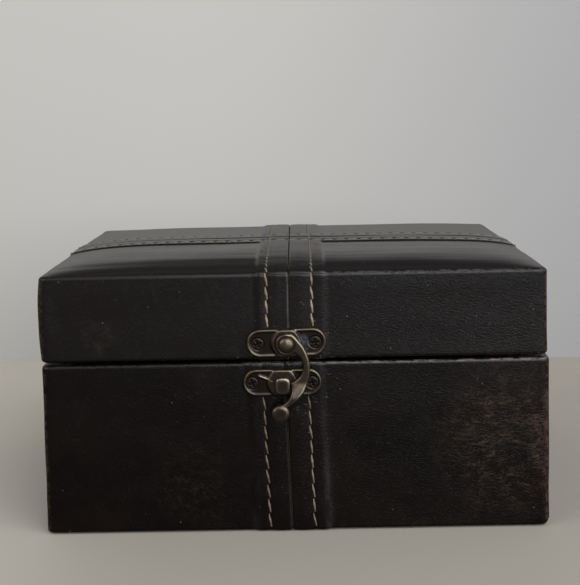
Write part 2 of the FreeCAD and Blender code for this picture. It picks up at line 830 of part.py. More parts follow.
# Where two of the circles cross, on the right-hand side
def meeting(centres, radii, one, two):
    (x1, y1), (x2, y2) = centres[one], centres[two]
    apart = math.hypot(x2 - x1, y2 - y1)
    along = (radii[one] ** 2 - radii[two] ** 2 + apart ** 2) / (2 * apart)
    aside = math.sqrt(radii[one] ** 2 - along ** 2)
    ux, uy = (x2 - x1) / apart, (y2 - y1) / apart
    points = [(x1 + along * ux - side * aside * uy, y1 + along * uy + side * aside * ux) for side in (-1, 1)]
    return max(points)


# The point of a circle on the far side from another circle's centre
def beyond(centre, touching, radius):
    away = math.hypot(touching[0] - centre[0], touching[1] - centre[1])
    return (touching[0] + radius * (touching[0] - centre[0]) / away,
            touching[1] + radius * (touching[1] - centre[1]) / away)


# Seen from the side, the hook's tail is bent forward so that it clears the stud
def hook():
    face = new_body("hook_face")
    pad(face, "hook_face_pad", hook_outline(face), "hook_back + hook_sheet + hook_bend + hook_knob_crown")
    side = new_body("hook_side")
    profile = new_sketch(side, "hook_side_profile", "YZ_Plane")
    low = "hook_knob_y - 2 * hook_knob"
    draw_polygon(profile, [("2 * hook_eye", "hook_back"),
                           ("-hook_bend_from", "hook_back"),
                           ("-hook_bend_to", "hook_back + hook_bend"),
                           (low, "hook_back + hook_bend"),
                           (low, "hook_back + hook_sheet + hook_bend"),
                           ("-hook_bend_to", "hook_back + hook_sheet + hook_bend"),
                           ("-hook_bend_from", "hook_back + hook_sheet"),
                           ("2 * hook_eye", "hook_back + hook_sheet")])
    pad(side, "hook_side_pad", profile, "6 * hook_eye + 2 * hook_knob", both_ways=True)
    bent = overlap("hook_bent", [face, side])
    knob = doc.addObject("Part::Ellipsoid", "hook_knob_crown")
    bind(knob, {"Radius1": "hook_knob_crown", "Radius2": "0.9 * hook_knob", "Radius3": "0.9 * hook_knob"})
    knob.Angle1 = 0
    place(knob, None, "hook_knob_x", "hook_knob_y", "hook_back + hook_sheet + hook_bend")
    eye = rod("hook_eye_hole", "rivet_shaft + rivet_clearance", "2 * (hook_back + hook_sheet)")
    return cut("latch_hook", join("hook_solid", [bent, knob]), eye)


def on_front(piece, label, x, z, lean="0"):
    tilt = Rotation(Vector(0, 0, 1), value(lean))
    place(piece, TO_FRONT.multiply(tilt), x, "-box_depth / 2 - band_proud", z)
    piece.Label = label
    return piece


def build():
    nodes = []
    screw_groups, drills = screws_and_drills()
    nodes += screw_groups
    # Base
    nodes.append(panel("base_bottom_panel", BASE_BOARD_FOOT, "felt + leather + board_panel"))
    nodes += walls("base", BASE_BOARD_FOOT, "%s - %s" % (BASE_BOARD_RIM, BASE_BOARD_FOOT), False,
                   drills["catch_plate_screws"], drills["hinge_base_screws"])
    base_core = stack("base_core", [("0", BASE_BOARD_FOOT), ("0", BASE_BOARD_RIM)])
    base_opening = join("base_openings", [
        inner_block("base_mouth", "leather", BASE_BOARD_RIM, "base_rim + leather"),
        inner_block("base_foot", "turn_under - board_wall", "-felt", BASE_BOARD_FOOT)])
    base_ring = inner_ring("base_turned_in", "leather", BASE_BOARD_RIM + " - turn_inside", BASE_BOARD_RIM)
    nodes += leather("base", base_envelope("base_envelope", "leather"),
                     base_envelope("base_band_envelope", "(leather + band_proud)"),
                     band_slabs("base_bands", BASE_SEAM, "0", "lid_rim"),
                     base_core, base_opening, base_ring, BASE_SEAM, "0", "lid_rim",
                     join("base_drills", [drills["catch_plate_screws"], drills["hinge_base_screws"]]))
    floor = "felt + leather + board_panel"
    nodes.append(inner_block("base_lining_floor", "0", floor, floor + " + lining"))
    nodes.append(inner_ring("base_lining_walls", "lining", floor + " + lining",
                            BASE_BOARD_RIM + " - turn_inside"))
    sheet_part = block("felt_sheet",
                       ("-box_width / 2 + felt_margin", "box_width / 2 - felt_margin"),
                       ("-box_depth / 2 + felt_margin", "box_depth / 2 - felt_margin"), ("0", "felt"))
    filler = inner_block("felt_filler", "turn_under - board_wall", "0", BASE_BOARD_FOOT)
    nodes.append(join("underside_felt", [sheet_part, filler]))
    # Lid
    nodes.append(panel("lid_top_panel", "lid_board_top - board_panel", "lid_board_top"))
    nodes += walls("lid", "lid_board_top", "lid_board_top - " + LID_BOARD_RIM, True,
                   drills["latch_plate_screws"], drills["hinge_lid_screws"])
    nodes.append(padding())
    lid_core = stack("lid_core", [("0", LID_BOARD_RIM), ("0", "lid_board_top")]
                     + crown_sections("lid_board_top"))
    lid_opening = inner_block("lid_mouth", "leather", "lid_rim - leather", LID_BOARD_RIM)
    lid_ring = inner_ring("lid_turned_in", "leather", LID_BOARD_RIM, LID_BOARD_RIM + " + turn_inside")
    nodes += leather("lid", lid_envelope("lid_envelope", "leather"),
                     lid_envelope("lid_band_envelope", "(leather + band_proud)"),
                     band_slabs("lid_bands", ("lid_band_x", "lid_band_x"), "base_rim", LID_ABOVE),
                     lid_core, lid_opening, lid_ring, ("lid_seam_x", "lid_seam_x"), "base_rim", LID_ABOVE,
                     join("lid_drills", [drills["latch_plate_screws"], drills["hinge_lid_screws"]]))
    ceiling = "lid_board_top - board_panel"
    nodes.append(inner_block("lid_lining_top", "0", ceiling + " - lining", ceiling))
    nodes.append(inner_ring("lid_lining_walls", "lining", LID_BOARD_RIM + " + turn_inside",
                            ceiling + " - lining"))
    # Stitches, hinges and latch
    pattern = pattern_stitch()
    nodes += base_stitching(pattern) + lid_stitching(pattern)
    nodes += hinges(drills["hinge_base_screws"], drills["hinge_lid_screws"])
    latch_sheet = on_front(plate("latch_plate_stamped", "latch_boss", "rivet_shaft"), "latch_plate_stamped",
                           "latch_x", "latch_height", "latch_tilt")
    catch_sheet = on_front(plate("catch_plate_stamped", "catch_boss", "rivet_shaft"), "catch_plate_stamped",
                           "catch_x", "catch_height")
    nodes.append(cut("latch_plate", latch_sheet, drills["latch_plate_screws"]))
    nodes.append(cut("catch_plate", catch_sheet, drills["catch_plate_screws"]))
    nodes.append(on_front(rivet(), "latch_rivet", "latch_x", "latch_height"))
    nodes.append(on_front(stud(), "catch_stud", "catch_x", "catch_height"))
    nodes.append(on_front(hook(), "latch_hook", "latch_x", "latch_height", "-hook_lean"))
    return nodes


def write(nodes):
    doc.recompute()
    for thing in doc.Objects:
        if {"Invalid", "Error"} & set(thing.State):
            raise RuntimeError("%s failed: %s" % (thing.Name, thing.State))
    os.makedirs("parts", exist_ok=True)
    for node in nodes:
        shape = node.Shape
        if shape.isNull() or not shape.isValid() or not shape.Solids:
            raise RuntimeError(node.Label + " has no valid solid")
        shape.exportStep("parts/%s.step" % node.Label)
        print("%-28s %8.1f mm3, %d solid(s)" % (node.Label, shape.Volume, len(shape.Solids)))


write(build())
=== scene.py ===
import math

import bmesh
import bpy
import numpy as np
from mathutils import Matrix, Vector, noise
from mathutils.bvhtree import BVHTree
from mathutils.geometry import delaunay_2d_cdt


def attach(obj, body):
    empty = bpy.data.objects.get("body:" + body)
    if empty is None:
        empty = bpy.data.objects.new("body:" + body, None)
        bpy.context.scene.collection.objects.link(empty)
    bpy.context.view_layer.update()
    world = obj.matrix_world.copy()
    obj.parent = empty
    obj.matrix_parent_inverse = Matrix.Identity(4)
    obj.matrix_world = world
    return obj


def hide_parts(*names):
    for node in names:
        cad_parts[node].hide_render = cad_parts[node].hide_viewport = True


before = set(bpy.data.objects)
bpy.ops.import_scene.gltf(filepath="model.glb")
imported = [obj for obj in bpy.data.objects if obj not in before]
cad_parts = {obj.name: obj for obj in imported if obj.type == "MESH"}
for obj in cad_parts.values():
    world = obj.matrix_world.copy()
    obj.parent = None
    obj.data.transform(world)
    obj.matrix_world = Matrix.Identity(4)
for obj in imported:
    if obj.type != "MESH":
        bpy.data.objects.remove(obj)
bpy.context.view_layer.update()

mm = 0.001


# shader helpers

def addNode(tree, kind, inputs=None, **settings):
    made = tree.nodes.new(kind)
    for name, what in settings.items():
        setattr(made, name, what)
    for name, what in (inputs or {}).items():
        feed(tree, made.inputs[name], what)
    return made


def feed(tree, socket, what):
    if isinstance(what, bpy.types.NodeSocket):
        tree.links.new(what, socket)
    else:
        socket.default_value = what


def newFinish(name):
    finish = bpy.data.materials.new(name)
    finish.use_nodes = True
    tree = finish.node_tree
    tree.nodes.clear()
    shader = addNode(tree, "ShaderNodeBsdfPrincipled")
    out = addNode(tree, "ShaderNodeOutputMaterial")
    tree.links.new(shader.outputs["BSDF"], out.inputs["Surface"])
    return finish, tree, shader


def objectPoint(tree, scale=(1, 1, 1), turn=(0, 0, 0), shift=(0, 0, 0)):
    where = addNode(tree, "ShaderNodeTexCoord").outputs["Object"]
    mapping = addNode(tree, "ShaderNodeMapping", {"Vector": where, "Scale": scale, "Rotation": turn, "Location": shift})
    return mapping.outputs["Vector"]


def mottle(tree, point, size, detail=4.0, roughness=0.55, distortion=0.0):
    made = addNode(tree, "ShaderNodeTexNoise", {"Vector": point, "Scale": 1.0 / size, "Detail": detail,
                                                "Roughness": roughness, "Distortion": distortion})
    return made.outputs["Fac"]


def ramp(tree, value, *stops):
    made = addNode(tree, "ShaderNodeValToRGB", {"Fac": value})
    band = made.color_ramp
    while len(band.elements) < len(stops):
        band.elements.new(0.5)
    for element, (at, tone) in zip(band.elements, stops):
        element.position = at
        element.color = (tone, tone, tone, 1) if isinstance(tone, (int, float)) else (*tone, 1)
    return made.outputs["Color"]


def blend(tree, amount, under, over):
    made = addNode(tree, "ShaderNodeMix", data_type="RGBA")
    feed(tree, made.inputs[0], amount)
    for index, what in ((6, under), (7, over)):
        feed(tree, made.inputs[index], what if isinstance(what, bpy.types.NodeSocket) else (*what, 1))
    return made.outputs[2]


def sums(tree, kind, first, second=0.5, clamp=False):
    made = addNode(tree, "ShaderNodeMath", operation=kind, use_clamp=clamp)
    feed(tree, made.inputs[0], first)
    feed(tree, made.inputs[1], second)
    return made.outputs[0]


def between(tree, value, low, high, floor=0.0, top=1.0):
    made = addNode(tree, "ShaderNodeMapRange", {"Value": value, "From Min": low, "From Max": high,
                                                "To Min": floor, "To Max": top}, interpolation_type="SMOOTHSTEP")
    return made.outputs["Result"]


def bumps(tree, height, distance, strength=1.0, under=None):
    made = addNode(tree, "ShaderNodeBump", {"Height": height, "Distance": distance, "Strength": strength})
    if under is not None:
        tree.links.new(under, made.inputs["Normal"])
    return made.outputs["Normal"]


def attribute(tree, name):
    return addNode(tree, "ShaderNodeAttribute", attribute_name=name).outputs["Fac"]


# soft spot on the surface: 1 at its centre, 0 from its reach on
def patch(tree, at, reach):
    scale = tuple(1 / r for r in reach)
    shift = tuple(-p / r for p, r in zip(at, reach))
    length = addNode(tree, "ShaderNodeVectorMath", {0: objectPoint(tree, scale, (0, 0, 0), shift)}, operation="LENGTH")
    return between(tree, length.outputs["Value"], 0.35, 1.0, 1.0, 0.0)


# finishes

def leatherFinish():
    finish, tree, shader = newFinish("wornLeather")
    point = objectPoint(tree)
    cloudy = mottle(tree, point, 26 * mm, 3.0)
    patchy = mottle(tree, point, 6 * mm, 6.0, 0.7)
    fine = mottle(tree, point, 1.6 * mm, 5.0, 0.65)
    spots = wear

    # nearly black dye, browner where the dye has thinned; the base below the lid is darker and browner, painted shade
    # along with a browner dye
    high = addNode(tree, "ShaderNodeSeparateXYZ", {"Vector": addNode(tree, "ShaderNodeTexCoord").outputs["Object"]}).outputs
    # painted shade: the base below the lid is made darker than the lid
    lower = between(tree, high["Z"], 60 * mm, 64 * mm, 1.0, 0.0)
    coloured = blend(tree, lower, (0.0090, 0.0067, 0.0058), (0.0044, 0.0023, 0.0016))
    coloured = blend(tree, sums(tree, "MULTIPLY", between(tree, cloudy, 0.42, 0.72), 0.55), coloured, (0.0115, 0.0066, 0.0046))

    # brown strokes where hands and shelves have worn the dye off
    strokes = sums(tree, "MAXIMUM", mottle(tree, objectPoint(tree, (0.22, 1, 1), (0, 0.42, 0)), 0.62 * mm, 5.0, 0.65, 1.2),
                   mottle(tree, objectPoint(tree, (0.22, 1, 1), (0, -0.25, 0)), 0.55 * mm, 5.0, 0.65, 1.2))
    hairs = mottle(tree, objectPoint(tree, (0.10, 1, 1), (0, -0.22, 0)), 0.40 * mm, 3.0, 0.6, 0.3)
    for key in ("rightPanel", "rightEdge", "leftStain", "lidStain"):
        spot = spots[key]
        inside = sums(tree, "MULTIPLY", patch(tree, spot["at"], spot["reach"]), between(tree, patchy, 0.34, 0.62))
        lines = between(tree, strokes if spot["strokes"] else fine, spot["from"], spot["from"] + 0.12)
        coloured = blend(tree, sums(tree, "MULTIPLY", sums(tree, "MULTIPLY", inside, lines), spot["amount"]), coloured, spot["colour"])

    # edges worn in a broken line, brown on the left and pale on the right; the lid top edge's pale right half is partly
    # painted highlight
    right = between(tree, high["X"], -5 * mm, 25 * mm)
    broken = between(tree, mottle(tree, objectPoint(tree, (0.35, 1, 1)), 1.1 * mm, 5.0, 0.7), 0.44, 0.60)
    edge = sums(tree, "MULTIPLY", attribute(tree, "topEdge"), sums(tree, "MULTIPLY", broken, between(tree, high["X"], -30 * mm, 25 * mm, 0.45, 1.0)))
    edgeColour = blend(tree, right, (0.058, 0.031, 0.024), (0.150, 0.135, 0.130))
    coloured = blend(tree, sums(tree, "MULTIPLY", edge, 0.55), coloured, edgeColour)
    rim = sums(tree, "MULTIPLY", attribute(tree, "rimEdge"), broken)
    rimColour = blend(tree, between(tree, high["X"], -35 * mm, 12 * mm), (0.024, 0.019, 0.017), (0.36, 0.31, 0.27))
    coloured = blend(tree, sums(tree, "MULTIPLY", rim, 0.7), coloured, rimColour)
    # painted highlight: a pale line along the rolled edge beside each seam, strongest on the lid's left pieces
    seam = sums(tree, "MULTIPLY", attribute(tree, "seamEdge"), between(tree, patchy, 0.25, 0.50))
    coloured = blend(tree, sums(tree, "MULTIPLY", seam, 0.8), coloured, (0.170, 0.163, 0.165))
    # painted highlight: a pale grey streak down the raised band's edge
    band = sums(tree, "MULTIPLY", attribute(tree, "bandEdge"), between(tree, mottle(tree, objectPoint(tree, (1, 1, 0.4)), 4 * mm, 5.0, 0.65), 0.36, 0.62, 0.05, 1.0))
    coloured = blend(tree, sums(tree, "MULTIPLY", band, 0.6), coloured, (0.052, 0.050, 0.049))
    corner = sums(tree, "MULTIPLY", attribute(tree, "cornerEdge"), between(tree, fine, 0.42, 0.60))
    coloured = blend(tree, sums(tree, "MULTIPLY", corner, 0.8), coloured, (0.105, 0.072, 0.042))

    # dust and flecks around the latch
    cells = addNode(tree, "ShaderNodeTexVoronoi", {"Vector": point, "Scale": 1 / (0.95 * mm), "Randomness": 1.0})
    pick = addNode(tree, "ShaderNodeSeparateColor", {"Color": cells.outputs["Color"]}).outputs[0]
    near = patch(tree, (0, -65 * mm, 60 * mm), (27 * mm, 8 * mm, 30 * mm))
    dots = sums(tree, "MULTIPLY", between(tree, cells.outputs["Distance"], 0.08, sums(tree, "ADD", 0.16, sums(tree, "MULTIPLY", fine, 0.22)), 1.0, 0.0),
                sums(tree, "GREATER_THAN", sums(tree, "ADD", pick, sums(tree, "MULTIPLY", near, between(tree, patchy, 0.44, 0.62, 0.03, 0.30))), 0.9962))
    scratch = sums(tree, "MULTIPLY", between(tree, hairs, 0.67, 0.73), near)
    marks = sums(tree, "MAXIMUM", sums(tree, "MULTIPLY", dots, 0.7), sums(tree, "MULTIPLY", scratch, 0.25))
    coloured = blend(tree, marks, coloured, (0.38, 0.36, 0.34))
    tree.links.new(coloured, shader.inputs["Base Color"])

    worn = sums(tree, "MAXIMUM", edge, sums(tree, "MAXIMUM", rim, corner))
    onTop = between(tree, high["Z"], 92.5 * mm, 94 * mm)
    uneven = sums(tree, "MULTIPLY", between(tree, patchy, 0.3, 0.7, 0.0, 0.10), sums(tree, "SUBTRACT", 1.0, sums(tree, "MULTIPLY", onTop, 0.8)))
    rough = sums(tree, "ADD", sums(tree, "ADD", uneven, 0.20), sums(tree, "MULTIPLY", worn, 0.15))
    matt = sums(tree, "MULTIPLY", attribute(tree, "topEdge"), sums(tree, "SUBTRACT", 1.0, right))
    rough = sums(tree, "ADD", rough, sums(tree, "MULTIPLY", matt, 0.25))
    tree.links.new(rough, shader.inputs["Roughness"])

    # pores, creases under the lid's edge, and cross wrinkles on the top band
    pores = addNode(tree, "ShaderNodeTexVoronoi", {"Vector": point, "Scale": 1 / (0.9 * mm), "Randomness": 1.0},
                    feature="DISTANCE_TO_EDGE").outputs["Distance"]
    sides = between(tree, high["Z"], 91 * mm, 94.0 * mm, 1.0, 0.05)
    sides = sums(tree, "MULTIPLY", sides, sums(tree, "ADD", 1.0, sums(tree, "MULTIPLY", sums(tree, "MULTIPLY", between(tree, high["X"], 5 * mm, 30 * mm), 0.35), between(tree, high["Z"], 58 * mm, 66 * mm))))
    grain = bumps(tree, sums(tree, "MULTIPLY", between(tree, pores, 0.0, 0.14), sides), 0.040 * mm, 0.65)
    grain = bumps(tree, sums(tree, "MULTIPLY", fine, sides), 0.06 * mm, 0.5, grain)
    crease = mottle(tree, objectPoint(tree, (1, 1, 0.34), (0, 0.35, 0)), 0.62 * mm, 4.0, 0.6, 0.8)
    creased = sums(tree, "MULTIPLY", between(tree, high["Z"], 83 * mm, 91 * mm), between(tree, high["X"], 5 * mm, 20 * mm))
    creased = sums(tree, "MULTIPLY", creased, between(tree, high["Z"], 92.4 * mm, 93.6 * mm, 1.0, 0.0))
    grain = bumps(tree, sums(tree, "MULTIPLY", crease, creased), 0.36 * mm, 0.75, grain)
    streak = mottle(tree, objectPoint(tree, (0.05, 1, 1)), 1.6 * mm, 3.0, 0.5)
    grain = bumps(tree, sums(tree, "MULTIPLY", streak, onTop), 0.10 * mm, 0.5, grain)
    wrinkle = mottle(tree, objectPoint(tree, (0.22, 1, 1)), 1.1 * mm, 4.0, 0.6, 0.5)
    onBand = sums(tree, "MULTIPLY", attribute(tree, "bandTop"), onTop)
    grain = bumps(tree, sums(tree, "MULTIPLY", wrinkle, onBand), 0.25 * mm, 0.7, grain)
    tree.links.new(grain, shader.inputs["Normal"])
    shader.inputs["Coat Weight"].default_value = 0.15
    shader.inputs["Coat Roughness"].default_value = 0.12
    return finish


wear = {
    "rightPanel": {"at": (75 * mm, -65.5 * mm, 33 * mm), "reach": (30 * mm, 5 * mm, 36 * mm), "strokes": True,
                   "from": 0.52, "amount": 0.68, "colour": (0.112, 0.074, 0.048)},
    "rightEdge": {"at": (89 * mm, -64 * mm, 32 * mm), "reach": (7 * mm, 7 * mm, 26 * mm), "strokes": True,
                  "from": 0.48, "amount": 0.62, "colour": (0.130, 0.072, 0.056)},
    "leftStain": {"at": (-37 * mm, -65.5 * mm, 17 * mm), "reach": (17 * mm, 5 * mm, 19 * mm), "strokes": False,
                  "from": 0.48, "amount": 0.5, "colour": (0.034, 0.023, 0.012)},
    "lidStain": {"at": (-68 * mm, -65.5 * mm, 71 * mm), "reach": (9 * mm, 5 * mm, 8 * mm), "strokes": False,
                 "from": 0.42, "amount": 0.6, "colour": (0.032, 0.024, 0.019)},
}


def brassFinish():
    finish, tree, shader = newFinish("oldBrass")
    point = objectPoint(tree)
    tarnish = mottle(tree, point, 1.9 * mm, 6.0, 0.65)
    pits = mottle(tree, point, 0.35 * mm, 4.0, 0.6)
    colour = blend(tree, between(tree, tarnish, 0.38, 0.64), (0.190, 0.150, 0.112), (0.092, 0.074, 0.056))
    colour = blend(tree, between(tree, pits, 0.50, 0.60, 0.0, 0.55), colour, (0.062, 0.045, 0.036))
    colour = blend(tree, between(tree, mottle(tree, point, 4.5 * mm, 5.0, 0.6), 0.44, 0.60, 0.0, 0.6), colour, (0.150, 0.100, 0.080))
    colour = blend(tree, sums(tree, "MULTIPLY", attribute(tree, "hollow"), 0.95), colour, (0.026, 0.024, 0.023))
    # pale brass where bright is set: worn bare metal on raised edges, partly painted highlight
    colour = blend(tree, sums(tree, "MULTIPLY", attribute(tree, "bright"), between(tree, pits, 0.30, 0.50)), colour, (0.60, 0.52, 0.37))
    bare = sums(tree, "MULTIPLY", attribute(tree, "bare"), between(tree, tarnish, 0.36, 0.56, 0.25, 0.85))
    colour = blend(tree, bare, colour, (0.24, 0.245, 0.29))
    tree.links.new(colour, shader.inputs["Base Color"])
    shader.inputs["Metallic"].default_value = 1.0
    rough = sums(tree, "SUBTRACT", between(tree, tarnish, 0.3, 0.7, 0.30, 0.46), sums(tree, "MULTIPLY", attribute(tree, "bright"), 0.08))
    tree.links.new(rough, shader.inputs["Roughness"])
    tree.links.new(bumps(tree, pits, 0.045 * mm, 0.6), shader.inputs["Normal"])
    return finish


def clothFinish(name, dark, light, fibre):
    finish, tree, shader = newFinish(name)
    point = objectPoint(tree)
    nap = mottle(tree, point, fibre, 6.0, 0.7)
    cloudy = mottle(tree, point, 14 * mm, 3.0)
    tone = sums(tree, "ADD", sums(tree, "MULTIPLY", nap, 0.6), sums(tree, "MULTIPLY", cloudy, 0.4))
    tree.links.new(blend(tree, between(tree, tone, 0.35, 0.65), dark, light), shader.inputs["Base Color"])
    shader.inputs["Roughness"].default_value = 0.92
    shader.inputs["Sheen Weight"].default_value = 0.25
    tree.links.new(bumps(tree, nap, 0.12 * mm, 0.7), shader.inputs["Normal"])
    return finish


def threadFinish():
    finish, tree, shader = newFinish("waxedThread")
    point = objectPoint(tree)
    soiled = mottle(tree, point, 7 * mm, 4.0)
    strand = mottle(tree, point, 0.30 * mm, 4.0, 0.6)
    tone = sums(tree, "ADD", sums(tree, "MULTIPLY", soiled, 0.55), sums(tree, "MULTIPLY", strand, 0.45))
    colour = blend(tree, between(tree, tone, 0.38, 0.60), (0.20, 0.135, 0.080), (0.56, 0.46, 0.32))
    red = between(tree, mottle(tree, point, 2.3 * mm, 3.0), 0.56, 0.66)
    colour = blend(tree, sums(tree, "MULTIPLY", red, 0.5), colour, (0.26, 0.11, 0.08))
    high = addNode(tree, "ShaderNodeSeparateXYZ", {"Vector": addNode(tree, "ShaderNodeTexCoord").outputs["Object"]}).outputs
    grimy = between(tree, high["Z"], 92.5 * mm, 95 * mm)
    colour = blend(tree, sums(tree, "MULTIPLY", grimy, 0.9), colour, (0.250, 0.225, 0.180))
    dull = between(tree, high["Z"], 55 * mm, 62 * mm, 1.0, 0.0)
    colour = blend(tree, sums(tree, "MULTIPLY", dull, 0.55), colour, (0.17, 0.125, 0.070))
    tree.links.new(colour, shader.inputs["Base Color"])
    shader.inputs["Roughness"].default_value = 0.5
    tree.links.new(bumps(tree, strand, 0.08 * mm, 0.6), shader.inputs["Normal"])
    return finish


def boardFinish():
    finish, tree, shader = newFinish("fibreboard")
    point = objectPoint(tree)
    chips = mottle(tree, point, 1.2 * mm, 8.0, 0.75)
    tree.links.new(blend(tree, chips, (0.24, 0.155, 0.085), (0.46, 0.33, 0.20)), shader.inputs["Base Color"])
    shader.inputs["Roughness"].default_value = 0.85
    tree.links.new(bumps(tree, chips, 0.1 * mm, 0.5), shader.inputs["Normal"])
    return finish


leather = leatherFinish()
brass = brassFinish()
thread = threadFinish()
suede = clothFinish("brownSuedeCloth", (0.055, 0.032, 0.022), (0.115, 0.07, 0.048), 0.5 * mm)
felt = clothFinish("blackFelt", (0.012, 0.012, 0.012), (0.035, 0.034, 0.033), 0.7 * mm)
foam = clothFinish("paddingFoam", (0.55, 0.48, 0.30), (0.72, 0.65, 0.44), 0.9 * mm)
board = boardFinish()
print("finishes mixed")


# mesh helpers

def addPiece(name, points, faces, finish, body, smooth=True):
    mesh = bpy.data.meshes.new(name)
    mesh.from_pydata([tuple(p) for p in points], [], [tuple(f) for f in faces])
    mesh.validate()
    mesh.update()
    piece = bpy.data.objects.new(name, mesh)
    bpy.context.scene.collection.objects.link(piece)
    mesh.materials.append(finish)
    if smooth:
        mesh.polygons.foreach_set("use_smooth", [True] * len(mesh.polygons))
    if body:
        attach(piece, body)
    return piece


def addNumbers(piece, name, numbers):
    kept = piece.data.attributes.new(name, "FLOAT", "POINT")
    kept.data.foreach_set("value", np.asarray(numbers, dtype=np.float32))


def vertexNormals(points, faces):
    a, b, c, d = (points[faces[:, k]] for k in range(4))
    facing = np.cross(c - a, d - b)
    normals = np.zeros_like(points)
    for k in range(4):
        np.add.at(normals, faces[:, k], facing)
    return normals / np.maximum(np.linalg.norm(normals, axis=1, keepdims=True), 1e-12)


def smoothStep(value, low, high):
    t = np.clip((value - low) / (high - low), 0, 1)
    return t * t * (3 - 2 * t)


def steps(*runs):
    marks = [runs[0][0]]
    for start, end, gap in runs:
        count = max(1, round((end - start) / gap))
        marks += [start + (end - start) * (k + 1) / count for k in range(count)]
    return np.array(marks)


# leather cover

cover = {
    "width": 180.0, "depth": 130.0, "foot": 0.6, "baseRim": 61.45, "lidRim": 62.5, "lidTop": 93.2,
    "thickness": 1.0, "cornerRound": 2.8, "topRound": 1.2, "rimRound": 1.3, "innerRound": 0.7,
    "wallThrough": 8.0, "turnInside": 12.0, "turnUnder": 15.0,
    "crown": 3.80, "crownReach": 13.1, "crownPower": 0.85,
    "bandHalf": 12.0, "bandProud": 0.6, "bandSlope": 1.7,
    "seamGap": 0.2, "seamRoll": 0.95, "lidSeam": -1.4, "baseSeamFoot": -1.5, "baseSeamRim": -3.3,
    "lidBand": -2.0,
    "stitchOffset": 8.0, "stitchSink": 0.13, "pillow": 0.12,
    "waviness": 0.20, "streaks": 0.09, "leftBulge": 0.8, "rightBulge": 0.65,
}


def crownRise(inset):
    return cover["crown"] * (1 - np.exp(-(np.maximum(inset, 0) / cover["crownReach"]) ** cover["crownPower"]))


# a point given by how far it is in from the wall (inset) and how high it is, before and after rounding a corner
def rounded(inset, high, corner, radius, inward, upward):
    du = (inset - corner[0]) * inward
    dv = (high - corner[1]) * upward
    if du >= radius or dv >= radius:
        return inset, high
    x, y = (du - radius) / radius, (dv - radius) / radius
    length = math.hypot(x, y) or 1.0
    return (corner[0] + inward * radius * (1 + x / length), corner[1] + upward * radius * (1 + y / length))


def shellProfile(part):
    c = cover
    through, rim = c["wallThrough"], c["baseRim"] if part == "base" else c["lidRim"]
    up = -1 if part == "base" else 1
    line = [(through, rim + up * (1.0 + c["turnInside"]) * (1 - k / 9)) for k in range(9)]
    line += [(through, rim + up * h) for h in (0.5, 0.25, 0.0)]
    line += [(through - w, rim) for w in (0.25, 0.5, 1.0, 2.5, 4.0, 5.5, 6.6, 7.1, 7.4, 7.7, 8.0)]
    tall = rim - c["foot"] if part == "base" else c["lidTop"] - rim
    line += [(0.0, rim + up * d) for d in steps((0, 1.4, 0.2), (1.4, tall - 1.4, 0.85), (tall - 1.4, tall, 0.2))[1:]]
    if part == "base":
        line += [(t, c["foot"]) for t in (0.2, 0.4, 0.7, 1.1, 2.0, 4.0, 8.0, 12.0, 15.0)]
    made = []
    for inset, high in line:
        inset2, high2 = rounded(inset, high, (through, rim), c["innerRound"], -1, up)
        if (inset2, high2) == (inset, high):
            inset2, high2 = rounded(inset, high, (0.0, rim), c["rimRound"], 1, up)
        if part == "lid":
            inset2, high2 = (inset2, high2) if high < c["lidTop"] - 5 else rounded(inset, high, (0.0, c["lidTop"]), c["topRound"], 1, -1)
        elif high < 5:
            inset2, high2 = rounded(inset, high, (0.0, c["foot"]), 1.0, 1, 1)
        made.append((inset, high, inset2, high2))
    return made


